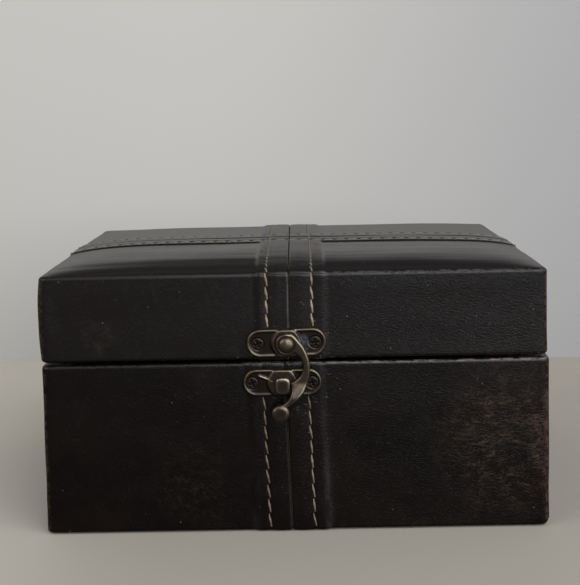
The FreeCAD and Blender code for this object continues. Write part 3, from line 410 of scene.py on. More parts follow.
def coverQuarter(name, part, front, left, body):
    c = cover
    sideLength = c["depth"] / 2
    gap = c["seamGap"] / 2
    profile = shellProfile(part)
    frontMarks = steps((0, 1.2, 0.2), (1.2, 6.6, 0.9), (6.6, 9.4, 0.35), (9.4, 14, 0.7), (14, 85, 1.1), (85, 89, 0.5), (89, 90, 0.25)) / 90
    sideMarks = steps((0, 1.2, 0.2), (1.2, 6.6, 0.9), (6.6, 9.4, 0.35), (9.4, 14, 0.7), (14, 60, 1.1), (60, 64, 0.5), (64, 65, 0.25)) / 65

    def seamAt(high):
        if part == "lid":
            return c["lidSeam"]
        return c["baseSeamFoot"] + (c["baseSeamRim"] - c["baseSeamFoot"]) * high / c["lidRim"]

    points, near, along, zone = [], [], [], []
    strip = []
    for index, (inset, high, inset2, high2) in enumerate(profile):
        seam = seamAt(high)
        lengthFront = (90 + seam if left else 90 - seam) - gap
        lengthSide = sideLength - gap
        radius = max(c["cornerRound"] - inset2, 0.8)
        row = []
        samples = [("front", f) for f in frontMarks] + [("side", f) for f in sideMarks[-2::-1]]
        for where, fraction in samples:
            length = lengthFront if where == "front" else lengthSide
            s = (1 - fraction) * (length - inset2)       # from the corner, along the wall
            lx, ly = (s, 0.0) if where == "front" else (0.0, s)
            if lx < radius and ly < radius:
                dx, dy = lx - radius, ly - radius
                away = math.hypot(dx, dy)
                lx, ly = radius + radius * dx / away, radius + radius * dy / away
            a, b = inset2 + lx, inset2 + ly
            row.append(len(points))
            points.append((a, b, high2))
            d = fraction * length
            near.append(d if where == "front" else 99.0)
            along.append(d if where == "side" else 99.0)
            zone.append((inset, high, s))
        strip.append(row)
    faces = []
    for lower, upper in zip(strip, strip[1:]):
        for k in range(len(lower) - 1):
            faces.append((lower[k], lower[k + 1], upper[k + 1], upper[k]))
    if part == "lid":
        corner = len(frontMarks) - 1
        edge = strip[-1]
        lengthFront = (90 + c["lidSeam"] if left else 90 - c["lidSeam"]) - gap
        lengthSide = sideLength - gap
        grid = {}
        for i in range(len(frontMarks)):
            grid[i, len(sideMarks) - 1] = edge[i]
        for j in range(len(sideMarks) - 1):
            grid[corner, j] = edge[len(frontMarks) + len(sideMarks) - 2 - j]
        for i in range(corner):
            for j in range(len(sideMarks) - 1):
                a, b = (1 - frontMarks[i]) * lengthFront, (1 - sideMarks[j]) * lengthSide
                inset2, high2 = rounded(min(a, b), c["lidTop"], (0.0, c["lidTop"]), c["topRound"], 1, -1)
                radius = c["cornerRound"]
                if a < radius and b < radius:
                    dx, dy = a - radius, b - radius
                    away = math.hypot(dx, dy)
                    a2, b2 = radius + (radius - inset2) * dx / away, radius + (radius - inset2) * dy / away
                else:
                    a2, b2 = (inset2, b) if a < b else (a, inset2)
                    if min(a, b) > c["topRound"]:
                        a2, b2 = a, b
                grid[i, j] = len(points)
                points.append((a2, b2, high2))
                near.append(frontMarks[i] * lengthFront)
                along.append(sideMarks[j] * lengthSide)
                zone.append((min(a, b), 200.0, 0.0))
        for i in range(corner):
            for j in range(len(sideMarks) - 1):
                faces.append((grid[i, j], grid[i, j + 1], grid[i + 1, j + 1], grid[i + 1, j]))
        # the strip's last row is on the top too, so that both bands run on over it
    points = np.array(points)
    near, along, zone = np.array(near), np.array(along), np.array(zone)
    faces = np.array(faces)
    a, b = points[:, 0].copy(), points[:, 1].copy()
    onTop = zone[:, 1] > 100
    if part == "lid":
        edgeRow = np.zeros(len(points), bool)
        edgeRow[strip[-1]] = True
        points[:, 2] += np.where(onTop | edgeRow, crownRise(a) * crownRise(b) / c["crown"], 0)
    signX, signY = (-1 if left else 1), (-1 if front else 1)
    real = np.stack([signX * (90 - points[:, 0]), signY * (65 - points[:, 1]), points[:, 2]], 1)
    if signX * signY * (1 if part == "lid" else -1) > 0:
        faces = faces[:, ::-1]
    normals = vertexNormals(real, faces)
    under = zone[:, 1] <= c["foot"] + 0.01
    wall = (~onTop) & (zone[:, 0] <= 0.01)
    fade = np.where(wall | onTop, 1.0, np.clip(1 - zone[:, 0] / 2.0, 0, 1))
    fade = np.where(under, 0.0, fade)
    bandEdge = c["bandHalf"] + (-0.6 if part == "lid" else 0.9) * (-1 if not left and part == "lid" else 1)
    lift = np.zeros(len(points))
    for d, half in ((near, bandEdge), (along, c["bandHalf"])):
        slope = c["bandSlope"] * (1.7 if d is along else 1.0)
        proud = c["bandProud"] * (0.8 if d is along else 1.0)
        lift = np.maximum(lift, proud * (1 - smoothStep(d, half - slope / 2, half + slope / 2)))
    height = lift * fade
    for d in (near, along):
        off = d - c["stitchOffset"]
        height -= (c["stitchSink"] * np.exp(-(off / 0.7) ** 2) + 0.04 * np.exp(-(off / 2.4) ** 2)) * fade
        height += c["pillow"] * np.exp(-((d - 4.2) / 2.2) ** 2) * fade
        roll = c["seamRoll"]
        short = np.clip(roll - d, 0, roll)
        height -= (roll - np.sqrt(np.maximum(roll ** 2 - short ** 2, 0))) * np.where(onTop, 0.5, 1.0)
    seed = {"front": 3.0, "rear": 17.0}["front" if front else "rear"] + (0 if left else 40)
    waves = np.array([noise.noise(Vector((x * 0.035 + seed, y * 0.045, z * 0.05))) for x, y, z in real])
    streaks = np.array([noise.noise(Vector((x * 0.018, y * 0.17 + seed, z * 0.12))) for x, y, z in real])
    height += (c["waviness"] * waves + c["streaks"] * streaks) * fade
    if part == "lid" and left:
        swell = np.sin(np.pi * np.clip((real[:, 2] - c["lidRim"]) / 31.0, 0, 1)) * np.where(wall, 1, 0)
        height += c["leftBulge"] * swell * np.clip(-real[:, 0] / 90, 0, 1) ** 24 * smoothStep(along, 15, 38)
    if part == "base" and not left:
        height += c["rightBulge"] * smoothStep(real[:, 2], 0.8, 3) * np.where(wall, 1, 0) * np.clip(real[:, 0] / 90, 0, 1) ** 30 * smoothStep(along, 15, 38)
    real = real + normals * height[:, None]
    top = np.where(onTop, zone[:, 0], c["lidTop"] - zone[:, 1]) if part == "lid" else np.full(len(points), 99.0)
    rimHigh = c["baseRim"] if part == "base" else c["lidRim"]
    rimFar = np.where(zone[:, 0] > 0.01, zone[:, 0], np.abs(zone[:, 1] - rimHigh))
    piece = addPiece(name, real * mm, faces, leather, body)
    # the lid's top edge line: wear, with its pale right half partly painted highlight
    addNumbers(piece, "topEdge", np.exp(-((top - 0.45) / 0.3) ** 2))
    nearLatch = smoothStep(real[:, 0], 5, 8) * (1 - smoothStep(real[:, 0], 15, 20)) * (real[:, 1] < -60)
    worn = 1.0 if part == "base" else 0.1 + 0.6 * nearLatch
    addNumbers(piece, "rimEdge", np.where(onTop, 0, worn * np.exp(-((rimFar - 0.32) / 0.26) ** 2)))
    addNumbers(piece, "cornerEdge", np.exp(-(np.where(onTop, 99, zone[:, 2]) / 1.1) ** 2))
    # painted highlight along the rolled seam edge, mostly on the left pieces of the lid
    addNumbers(piece, "seamEdge", (1.0 if left else 0.2) * (1.0 if part == "lid" else 0.22) * np.exp(-((near - 0.36) / 0.2) ** 2) * (~onTop))
    # painted highlight down the band's edge: strongest on the right front pieces, and on the base fading with height
    bandSheen = (0.35 if left else 1.0) * (1.0 if part == "base" else 0.25) * (1.0 if front else 0.4)
    if part == "base":
        bandSheen = bandSheen * (0.35 + 0.65 * (1 - smoothStep(real[:, 2], 12, 34)))
    addNumbers(piece, "bandEdge", bandSheen * np.exp(-((near - bandEdge - 0.1) / 1.25) ** 2) * wall)
    addNumbers(piece, "bandTop", np.where(onTop, 1 - smoothStep(near, bandEdge - 1, bandEdge + 1), 0))
    skin = piece.modifiers.new("leatherThickness", "SOLIDIFY")
    skin.thickness, skin.offset, skin.use_even_offset = c["thickness"] * mm, -1, True
    return piece, real, faces


quarters = [("front_left", True, True), ("front_right", True, False), ("rear_left", False, True), ("rear_right", False, False)]
coverSkins = {"base": [], "lid": []}
for part in ("base", "lid"):
    for place, front, left in quarters:
        made, surface, skinFaces = coverQuarter(f"{part}Leather_{place}", part, front, left, part)
        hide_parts(f"{part}_leather_{place}")
        coverSkins[part].append((surface, skinFaces))
print("leather cover shaped")


# thread: one stitch from hole to hole, laid along both sides of each seam

stitching = {
    "base": {"length": 5.0, "pitch": 5.35, "width": 0.78}, "lid": {"length": 4.55, "pitch": 4.85, "width": 0.92},
    "height": 0.44, "sink": 0.2, "onTop": (0.84, 0.9, 0.5), "slant": 8.0, "uneven": 3.0, "seed": 11,
    "offset": 8.0, "rimMargin": 2.2, "footMargin": 0.9, "belowCatch": 49.9, "aboveLatch": 73.9,
}


def skinTree(part):
    points, faces, start = [], [], 0
    for surface, skinFaces in coverSkins[part]:
        points.append(surface)
        faces.append(skinFaces + start)
        start += len(surface)
    return BVHTree.FromPolygons([tuple(p) for p in np.concatenate(points)],
                                [tuple(int(k) for k in f) for f in np.concatenate(faces)])


# follows a path of points near the leather and gives places a stitch apart, with the way along and the way out
def seatStitches(tree, path, pitch, skip=None):
    seated = []
    for point in path:
        place, normal, _, _ = tree.find_nearest(Vector(point))
        seated.append((np.array(place), np.array(normal)))
    places = np.array([p for p, _ in seated])
    outs = np.array([n for _, n in seated])
    far = np.concatenate([[0], np.cumsum(np.linalg.norm(np.diff(places, axis=0), axis=1))])
    count = max(1, round(far[-1] / pitch))
    marks = far[-1] / count * (np.arange(count) + 0.5)
    rows = []
    for mark in marks:
        at = np.array([np.interp(mark, far, places[:, k]) for k in range(3)])
        before = np.array([np.interp(mark - 1.8, far, places[:, k]) for k in range(3)])
        after = np.array([np.interp(mark + 1.8, far, places[:, k]) for k in range(3)])
        out = np.array([np.interp(mark, far, outs[:, k]) for k in range(3)])
        if skip is None or not skip(at):
            rows.append((at, (after - before) / np.linalg.norm(after - before), out / np.linalg.norm(out)))
    return rows


# turn for a copy: its Z along the kept "out", its X along the kept "run"
def alongSurface(tree):
    run = addNode(tree, "GeometryNodeInputNamedAttribute", {"Name": "run"}, data_type="FLOAT_VECTOR").outputs["Attribute"]
    out = addNode(tree, "GeometryNodeInputNamedAttribute", {"Name": "out"}, data_type="FLOAT_VECTOR").outputs["Attribute"]
    facing = addNode(tree, "FunctionNodeAxesToRotation", {"Primary Axis": out, "Secondary Axis": run},
                     primary_axis="Z", secondary_axis="X")
    return facing.outputs[0]


def stitchNodes():
    tree = bpy.data.node_groups.new("saddleStitches", "GeometryNodeTree")
    for name, kind in (("Geometry", "NodeSocketGeometry"), ("Length", "NodeSocketFloat"), ("Width", "NodeSocketFloat"),
                       ("Height", "NodeSocketFloat"), ("Sink", "NodeSocketFloat"), ("Slant", "NodeSocketFloat"),
                       ("Uneven", "NodeSocketFloat"), ("Seed", "NodeSocketInt"), ("Thread", "NodeSocketMaterial")):
        tree.interface.new_socket(name, in_out="INPUT", socket_type=kind)
    tree.interface.new_socket("Geometry", in_out="OUTPUT", socket_type="NodeSocketGeometry")
    given = addNode(tree, "NodeGroupInput").outputs
    half = sums(tree, "MULTIPLY", given["Length"], 0.5)
    low = sums(tree, "MULTIPLY", given["Sink"], -1.0)
    start = addNode(tree, "ShaderNodeCombineXYZ", {"X": sums(tree, "MULTIPLY", half, -1.0), "Z": low})
    middle = addNode(tree, "ShaderNodeCombineXYZ", {"Z": sums(tree, "ADD", sums(tree, "MULTIPLY", given["Height"], 1.1), given["Sink"])})
    end = addNode(tree, "ShaderNodeCombineXYZ", {"X": half, "Z": low})
    line = addNode(tree, "GeometryNodeCurveQuadraticBezier", {"Resolution": 7, "Start": start.outputs[0],
                                                             "Middle": middle.outputs[0], "End": end.outputs[0]})
    along = addNode(tree, "GeometryNodeSplineParameter").outputs["Factor"]
    turned = addNode(tree, "GeometryNodeSetCurveTilt", {"Curve": line.outputs[0], "Tilt": sums(tree, "MULTIPLY", along, 5.5)})
    side = sums(tree, "SUBTRACT", sums(tree, "MULTIPLY", along, 2.0), 1.0)
    plump = sums(tree, "SUBTRACT", 1.0, sums(tree, "MULTIPLY", sums(tree, "MULTIPLY", side, side), 0.22))
    round_ = addNode(tree, "GeometryNodeCurvePrimitiveCircle", {"Resolution": 8, "Radius": 1.0})
    strand = addNode(tree, "GeometryNodeTransform", {"Geometry": round_.outputs[0], "Scale": (1.0, 0.74, 1.0)})
    wide = sums(tree, "MULTIPLY", sums(tree, "MULTIPLY", given["Width"], 0.5), plump)
    stitch = addNode(tree, "GeometryNodeCurveToMesh", {"Curve": turned.outputs[0], "Profile Curve": strand.outputs[0],
                                                      "Scale": wide, "Fill Caps": True})
    facing = alongSurface(tree)
    lean = addNode(tree, "FunctionNodeRandomValue", {"Min": sums(tree, "MULTIPLY", given["Uneven"], -1.0),
                                                    "Max": given["Uneven"], "Seed": given["Seed"]}, data_type="FLOAT")
    leanValue = next(o for o in lean.outputs if o.enabled)
    turn = addNode(tree, "ShaderNodeCombineXYZ", {"Z": sums(tree, "ADD", given["Slant"], leanValue)})
    toTurn = addNode(tree, "FunctionNodeEulerToRotation", {"Euler": turn.outputs[0]})
    turnedFacing = addNode(tree, "FunctionNodeRotateRotation", {"Rotation": facing, "Rotate By": toTurn.outputs[0]},
                           rotation_space="LOCAL")
    stretch = addNode(tree, "FunctionNodeRandomValue", {"Min": (0.94, 0.86, 0.85), "Max": (1.05, 1.12, 1.15),
                                                       "Seed": given["Seed"]}, data_type="FLOAT_VECTOR")
    pressed = addNode(tree, "GeometryNodeInputNamedAttribute", {"Name": "size"}, data_type="FLOAT_VECTOR").outputs["Attribute"]
    size = addNode(tree, "ShaderNodeVectorMath", {0: next(o for o in stretch.outputs if o.enabled), 1: pressed}, operation="MULTIPLY")
    laid = addNode(tree, "GeometryNodeInstanceOnPoints", {"Points": given["Geometry"], "Instance": stitch.outputs[0],
                                                         "Rotation": turnedFacing.outputs[0], "Scale": size.outputs[0]})
    real = addNode(tree, "GeometryNodeRealizeInstances", {"Geometry": laid.outputs[0]})
    soft = addNode(tree, "GeometryNodeSetShadeSmooth", {"Geometry": real.outputs[0]})
    coloured = addNode(tree, "GeometryNodeSetMaterial", {"Geometry": soft.outputs[0], "Material": given["Thread"]})
    leave = addNode(tree, "NodeGroupOutput")
    tree.links.new(coloured.outputs[0], leave.inputs[0])
    return tree


# runs a node group over a mesh of places and gives back a plain mesh
def settle(name, tree, places, inputs, body, vectors):
    mesh = bpy.data.meshes.new(name + "Places")
    mesh.from_pydata([tuple(p) for p in places], [], [])
    for key, rows in vectors.items():
        mesh.attributes.new(key, "FLOAT_VECTOR", "POINT").data.foreach_set("vector", np.asarray(rows, np.float32).ravel())
    source = bpy.data.objects.new(name + "Places", mesh)
    bpy.context.scene.collection.objects.link(source)
    work = source.modifiers.new("work", "NODES")
    work.node_group = tree
    for item in tree.interface.items_tree:
        if item.in_out == "INPUT" and item.name in inputs:
            work[item.identifier] = inputs[item.name]
    bpy.context.view_layer.update()
    evaluated = source.evaluated_get(bpy.context.evaluated_depsgraph_get())
    plain = bpy.data.meshes.new_from_object(evaluated)
    bpy.data.objects.remove(source)
    piece = bpy.data.objects.new(name, plain)
    plain.name = name
    bpy.context.scene.collection.objects.link(piece)
    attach(piece, body)
    return piece


def stitchPaths(part):
    c, t = cover, stitching
    half = c["depth"] / 2 + c["bandProud"]
    wide = c["width"] / 2 + c["bandProud"]
    paths = []
    if part == "base":
        low, high = c["foot"] + t["footMargin"], c["baseRim"] - t["rimMargin"]
        levels = np.arange(low, high, 0.5)
        for offset in (-t["offset"], t["offset"]):
            seam = [c["baseSeamFoot"] + (c["baseSeamRim"] - c["baseSeamFoot"]) * z / c["lidRim"] for z in levels]
            paths.append([(x + offset, -half, z) for x, z in zip(seam, levels) if z < t["belowCatch"]])
            paths.append([(x + offset, half, z) for x, z in zip(seam, levels)])
            paths += [[(side * wide, offset, z) for z in levels] for side in (-1, 1)]
        return paths
    low, high = c["lidRim"] + t["rimMargin"], c["lidTop"] - 0.6
    levels = np.arange(low, high, 0.5)
    for offset in (-t["offset"], t["offset"]):
        x = c["lidSeam"] + offset
        depths = [y for y in np.arange(-half + 0.6, half - 0.6, 0.5) if abs(y) > 1.2]
        over = [(x, y, c["lidTop"] + c["bandProud"] + float(crownRise(65 - abs(y)))) for y in depths]
        paths.append([(x, -half, z) for z in levels if z > t["aboveLatch"]] + over + [(x, half, z) for z in levels[::-1]])
        widths = [w for w in np.arange(-wide + 0.6, wide - 0.6, 0.5) if abs(w - c["lidSeam"]) > 1.2]
        across = [(x2, offset, c["lidTop"] + c["bandProud"] + float(crownRise(90 - abs(x2)))) for x2 in widths]
        paths.append([(-wide, offset, z) for z in levels] + across + [(wide, offset, z) for z in levels[::-1]])
    return paths


def addStitching(part, nodes):
    t = stitching
    tree = skinTree(part)
    rows = [row for path in stitchPaths(part) for row in seatStitches(tree, path, t[part]["pitch"])]
    inputs = {"Length": t[part]["length"] * mm, "Width": t[part]["width"] * mm, "Height": t["height"] * mm, "Sink": t["sink"] * mm,
              "Slant": math.radians(t["slant"]), "Uneven": math.radians(t["uneven"]), "Seed": t["seed"], "Thread": thread}
    piece = settle(part + "Stitching", stitchGroup, [row[0] * mm for row in rows], inputs, part,
                   {"run": [row[1] for row in rows], "out": [row[2] for row in rows],
                    "size": [t["onTop"] if row[2][2] > 0.7 else (1, 1, 1) for row in rows]})
    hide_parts(*nodes)
    print(part, "stitched with", len(rows), "stitches")


stitchGroup = stitchNodes()
addStitching("base", ["base_stitching_front", "base_stitching_back", "base_stitching_left", "base_stitching_right"])
addStitching("lid", ["lid_stitching_front_back", "lid_stitching_left_right"])


# swing-hook latch: pressed and cast pieces, each made from a distance to its outline and a height above the leather

latch = {
    "face": 65.6, "step": 0.11, "grid": 0.24,
    "lidPlate": {"at": (-2.6, 68.6), "up": 0.2, "tilt": 1.0, "long": 28.4, "wide": 10.1, "boss": 1.9, "screws": (-10.15, 10.15), "bare": (6.2, -0.2, 2.4, 4.0, 1.0), "shadedFoot": 0.0, "ribs": []},
    "basePlate": {"at": (-4.25, 54.45), "up": 0.1, "tilt": 0.0, "long": 28.0, "wide": 9.8, "boss": 1.7, "screws": (-10.75, 10.55), "bare": (3.3, 3.5, 1.2, 1.2, 0.5), "shadedFoot": 0.8,
                  "ribs": [((-8.1, 2.6), (-3.8, 0.9), 0.55), ((2.2, 4.3), (4.0, 3.1), 0.3)]},
    "sheet": 0.8, "bead": 0.38, "beadIn": 0.64, "beadWide": 0.42, "well": 2.42, "wellDeep": 0.26, "bossAcross": 10.4, "bossRound": 5.35,
    "hook": {"lean": -1.4, "back": 2.15, "thick": 1.6, "eye": 3.95, "hole": 1.56, "outer": (-6.3, -8.7, 14.69), "inner": (0.26, -7.92, 5.6),
             "notch": (-4.0, -15.6, 5.95), "knob": (-1.8, -24.1, 3.15), "crown": 0.35, "bend": 2.0, "bendFrom": 13.0, "bendTo": 19.0,
             "edge": 0.72},
    "rivet": {"round": 2.86, "from": 3.78, "high": 1.6}, "stud": {"half": 2.72, "tall": 1.11, "from": 1.5, "to": 3.7, "drop": 0.6, "edge": 0.95},
    "screw": {"head": 2.12, "rise": 0.14, "arm": 1.4, "slot": 0.36, "deep": 0.38, "shank": 1.0, "long": 5.5},
}


def farFrom(u, v, circle):
    return np.hypot(u - circle[0], v - circle[1]) - circle[2]


# joins two outlines with a small fillet where they meet
def melt(first, second, soft):
    share = np.clip(0.5 + 0.5 * (second - first) / soft, 0, 1)
    return second * (1 - share) + first * share - soft * share * (1 - share)


def segmentFar(u, v, start, end):
    du, dv = end[0] - start[0], end[1] - start[1]
    t = np.clip(((u - start[0]) * du + (v - start[1]) * dv) / (du * du + dv * dv), 0, 1)
    return np.hypot(u - start[0] - t * du, v - start[1] - t * dv)


# closed lines where the distance has a given value
def levelLines(far, reach, step, level):
    us, vs = (np.arange(lo - 3 * step, hi + 3 * step, step) for lo, hi in reach)
    g = far(*np.meshgrid(us, vs, indexing="ij")) - level + 1e-7
    cross = {}
    for axis in (0, 1):
        a = g[:-1, :] if axis == 0 else g[:, :-1]
        b = g[1:, :] if axis == 0 else g[:, 1:]
        for i, j in np.argwhere(a * b < 0):
            t = a[i, j] / (a[i, j] - b[i, j])
            cross[axis, i, j] = (us[i] + (t * step if axis == 0 else 0), vs[j] + (t * step if axis == 1 else 0))
    ways = {}
    cells = {(i - di, j - dj) for axis, i, j in cross for di, dj in (((0, 0), (0, 1)) if axis == 0 else ((0, 0), (1, 0)))}
    for i, j in cells:
        sides = [key for key in ((0, i, j), (1, i + 1, j), (0, i, j + 1), (1, i, j)) if key in cross]
        for a, b in zip(sides[::2], sides[1::2]):
            ways.setdefault(a, []).append(b)
            ways.setdefault(b, []).append(a)
    loops = []
    while ways:
        key = next(iter(ways))
        loop = []
        while key in ways:
            loop.append(cross[key])
            nexts = ways.pop(key)
            key = next((k for k in nexts if k in ways), None)
        if len(loop) > 8:
            loops.append(np.array(loop))
    return loops


def evenly(loop, gap):
    closed = np.vstack([loop, loop[:1]])
    far = np.concatenate([[0], np.cumsum(np.hypot(*np.diff(closed, axis=0).T))])
    marks = np.linspace(0, far[-1], max(12, round(far[-1] / gap)), endpoint=False)
    return np.stack([np.interp(marks, far, closed[:, k]) for k in (0, 1)], 1)


# a solid with that outline: front and back heights, joined round the edge
def reliefSolid(far, reach, front, back, insets=(0.0, 0.08, 0.2, 0.38, 0.62, 0.9), grid=0.24):
    spots, edges = [], []
    for inset in insets:
        for loop in levelLines(far, reach, latch["step"], -inset):
            loop = evenly(loop, grid * (0.75 if inset < 0.5 else 1.0))
            first = len(spots)
            spots += [tuple(p) for p in loop]
            edges += [(first + k, first + (k + 1) % len(loop)) for k in range(len(loop))]
    us, vs = (np.arange(lo, hi, grid) for lo, hi in reach)
    uu, vv = np.meshgrid(us, vs, indexing="ij")
    inner = far(uu, vv) < -(insets[-1] + 0.6 * grid)
    spots += list(zip(uu[inner], vv[inner]))
    flat, _, triangles, _, _, _ = delaunay_2d_cdt([Vector((float(a), float(b))) for a, b in spots], edges, [], 0, 1e-6)
    flat = np.array([tuple(p) for p in flat])
    triangles = np.array([tuple(t) for t in triangles])
    middle = flat[triangles].mean(axis=1)
    triangles = triangles[far(middle[:, 0], middle[:, 1]) < 0]
    a, b, c = (flat[triangles[:, k]] for k in range(3))
    turned = np.cross(b - a, c - a) < 0
    triangles[turned] = triangles[turned][:, ::-1]
    u, v = flat[:, 0], flat[:, 1]
    inside = np.maximum(-far(u, v), 0)
    points = np.concatenate([np.stack([u, v, front(u, v, inside)], 1), np.stack([u, v, back(u, v, inside)], 1)])
    count = len(flat)
    once = {}
    for t in triangles:
        for k in range(3):
            a, b = int(t[k]), int(t[(k + 1) % 3])
            if (b, a) in once:
                once.pop((b, a))
            else:
                once[a, b] = True
    faces = [tuple(map(int, t)) for t in triangles] + [tuple(int(k) + count for k in t[::-1]) for t in triangles]
    faces += [(b, a, a + count, b + count) for a, b in once]
    used = sorted({k for face in faces for k in face})
    order = {k: n for n, k in enumerate(used)}
    inside = np.concatenate([inside, inside])[used]
    return points[used], [tuple(order[k] for k in face) for face in faces], inside


# from the flat drawing (right, up, out) to its place on the front of the box
def onFront(points, at, tilt=0.0):
    a = math.radians(tilt)
    u, v, n = points.T
    return np.stack([at[0] + u * math.cos(a) - v * math.sin(a), -latch["face"] - n, at[1] + u * math.sin(a) + v * math.cos(a)], 1)


def addBrass(name, points, faces, body, node, bright=None, hollow=None):
    piece = addPiece(name, points * mm, faces, brass, body)
    addNumbers(piece, "bright", np.zeros(len(points)) if bright is None else bright)
    addNumbers(piece, "hollow", np.zeros(len(points)) if hollow is None else hollow)
    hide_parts(node)
    return piece


def pressedPlate(name, spec, body, node):
    straight, radius = spec["long"] / 2 - spec["wide"] / 2, spec["wide"] / 2

    def far(u, v):
        return np.hypot(np.maximum(np.abs(u) - straight, 0), v - spec["up"]) - radius

    def bossFar(u, v):
        sides = [np.abs(u * math.cos(t) + v * math.sin(t)) for t in (math.radians(30), math.radians(90), math.radians(150))]
        hexagon = np.maximum.reduce(sides) - latch["bossAcross"] / 2
        ring = np.hypot(u, v) - latch["bossRound"]
        return -melt(-hexagon, -ring, 0.5)

    def front(u, v, inside):
        edge = np.sqrt(np.clip(1 - (1 - np.clip(inside / 0.3, 0, 1)) ** 2, 0, 1))
        high = 0.25 + (latch["sheet"] - 0.25) * edge
        raised = smoothStep(-bossFar(u, v), -0.45, 0.35)
        high = high + latch["bead"] * np.exp(-((inside - latch["beadIn"]) / latch["beadWide"]) ** 2) * (1 - raised)
        high = high + (spec["boss"] - latch["sheet"]) * raised * smoothStep(inside, -0.1, 0.55)
        for start, end, rise in spec["ribs"]:
            high = high + rise * (1 - smoothStep(segmentFar(u, v, start, end), 0.15, 0.75)) * (1 - raised)
        for x in spec["screws"]:
            high = high - latch["wellDeep"] * (1 - smoothStep(np.hypot(u - x, v), latch["well"] - 0.35, latch["well"] + 0.12))
        return np.maximum(high, 0.22)

    reach = ((-spec["long"] / 2, spec["long"] / 2), (spec["up"] - radius, spec["up"] + radius))
    drawn, faces, inside = reliefSolid(far, reach, front, lambda u, v, inside: np.zeros_like(u))
    u, v = drawn[:, 0], drawn[:, 1]
    top = drawn[:, 2] > 0.2
    # painted highlight, partly worn metal: pale on the bead, the boss outline and the ribs
    bright = np.exp(-((inside - latch["beadIn"]) / 0.3) ** 2) * 0.42
    bright = np.maximum(bright, 0.22 * np.exp(-((bossFar(u, v) + 0.25) / 0.22) ** 2))
    for start, end, rise in spec["ribs"]:
        bright = np.maximum(bright, rise / 0.55 * (1 - smoothStep(segmentFar(u, v, start, end), 0.1, 0.45)))
    # painted shade: the catch plate's lower half is dimmed and darkened where the hook and stud shadow it
    bright = bright * (1 - spec["shadedFoot"] * (1 - smoothStep(v, -4.0, 0.5)))
    hollow = 0.75 * smoothStep(inside, 0.95, 1.3) * (1 - smoothStep(-bossFar(u, v), -0.3, 0.2))
    hollow = np.maximum(hollow, 0.35 * (bossFar(u, v) < -0.3))
    hollow = np.maximum(hollow, spec["shadedFoot"] * (1 - smoothStep(v, -4.8, -2.2)))
    for x in spec["screws"]:
        hollow = np.maximum(hollow, 1 - smoothStep(np.hypot(u - x, v), latch["well"] - 0.4, latch["well"] + 0.25))
    plate = addBrass(name, onFront(drawn, spec["at"], spec["tilt"]), faces, body, node, bright * top, hollow * top)
    x, y, wide, tall, amount = spec["bare"]
    addNumbers(plate, "bare", amount * top * (1 - smoothStep(np.hypot((u - x) / wide, (v - y) / tall), 0.5, 1.0)))


def swingHook():
    h = latch["hook"]

    def far(u, v):
        tail = np.maximum(farFrom(u, v, h["outer"]), np.maximum(-farFrom(u, v, h["inner"]), -farFrom(u, v, h["notch"])))
        slant = ((u - 1.4) * -8.8 + (v + 13.2) * 4.0) / math.hypot(8.8, 4.0)
        tail = np.maximum(tail, np.minimum(slant, np.maximum(1.5 - u, -8.0 - v)))
        whole = melt(farFrom(u, v, (0, 0, h["eye"])), tail, 0.9)
        whole = melt(whole, farFrom(u, v, h["knob"]), 0.8)
        return np.maximum(whole, h["hole"] - np.hypot(u, v))

    def back(u, v, inside):
        return h["back"] + h["bend"] * smoothStep(-v, h["bendFrom"], h["bendTo"]) + 0.25 * (1 - np.clip(inside / 0.25, 0, 1))

    def front(u, v, inside):
        edge = np.sqrt(np.clip(1 - (1 - np.clip(inside / h["edge"], 0, 1)) ** 2, 0, 1))
        low = h["back"] + h["bend"] * smoothStep(-v, h["bendFrom"], h["bendTo"])
        knob = smoothStep(np.hypot(u - h["knob"][0], v - h["knob"][1]), h["knob"][2], 0.6 * h["knob"][2])
        ring = 0.18 * smoothStep(np.hypot(u, v), 3.3, 2.7)
        return low + h["thick"] * (0.42 + 0.58 * edge) + h["crown"] * knob - ring

    drawn, faces, inside = reliefSolid(far, ((-5.5, 8.8), (-27.5, 4.2)), front, back, grid=0.3)
    facing = drawn[:, 2] > h["back"] + h["bend"] * smoothStep(-drawn[:, 1], h["bendFrom"], h["bendTo"]) + 0.5
    # painted highlight, partly worn metal: pale along the hook's edge, strongest on its outer side, and a ring round
    # the knob
    outside = smoothStep(farFrom(drawn[:, 0], drawn[:, 1], h["outer"]), -1.2, -0.6)
    bright = np.exp(-((inside - 0.3) / 0.27) ** 2) * facing * (0.15 + 0.7 * outside)
    knob = np.hypot(drawn[:, 0] - h["knob"][0], drawn[:, 1] - h["knob"][1])
    bright = np.maximum(bright, 0.15 * np.exp(-((knob - 0.72 * h["knob"][2]) / 0.4) ** 2) * facing)
    hollow = 0.35 * smoothStep(knob, 0.62 * h["knob"][2], 0.3 * h["knob"][2]) * facing
    return addBrass("swingHook", onFront(drawn, latch["lidPlate"]["at"], h["lean"]), faces, "hook", "latch_hook", bright, hollow)


# turned piece on an axis that points out of the front
def turned(name, profile, at, body, node, bright, hollow, sides=48, power=2.0, tall=1.0):
    points, faces, tones, dark = [], [], [], []
    for (r, n), tone, shade in zip(profile, bright, hollow):
        for k in range(sides):
            a = 2 * math.pi * k / sides
            stretch = (abs(math.cos(a)) ** power + abs(math.sin(a)) ** power) ** (-1 / power)
            points.append((r * stretch * math.cos(a), r * stretch * math.sin(a) * tall, n))
            tones.append(tone)
            dark.append(shade)
    for row in range(len(profile) - 1):
        for k in range(sides):
            a, b = row * sides + k, row * sides + (k + 1) % sides
            faces.append((a, b, b + sides, a + sides))
    faces.append(tuple(range(sides))[::-1])
    first = (len(profile) - 1) * sides
    points.append((0, 0, profile[-1][1]))
    tones.append(bright[-1])
    dark.append(hollow[-1])
    faces += [(first + k, first + (k + 1) % sides, len(points) - 1) for k in range(sides)]
    return addBrass(name, onFront(np.array(points), at), faces, body, node, tones, dark)


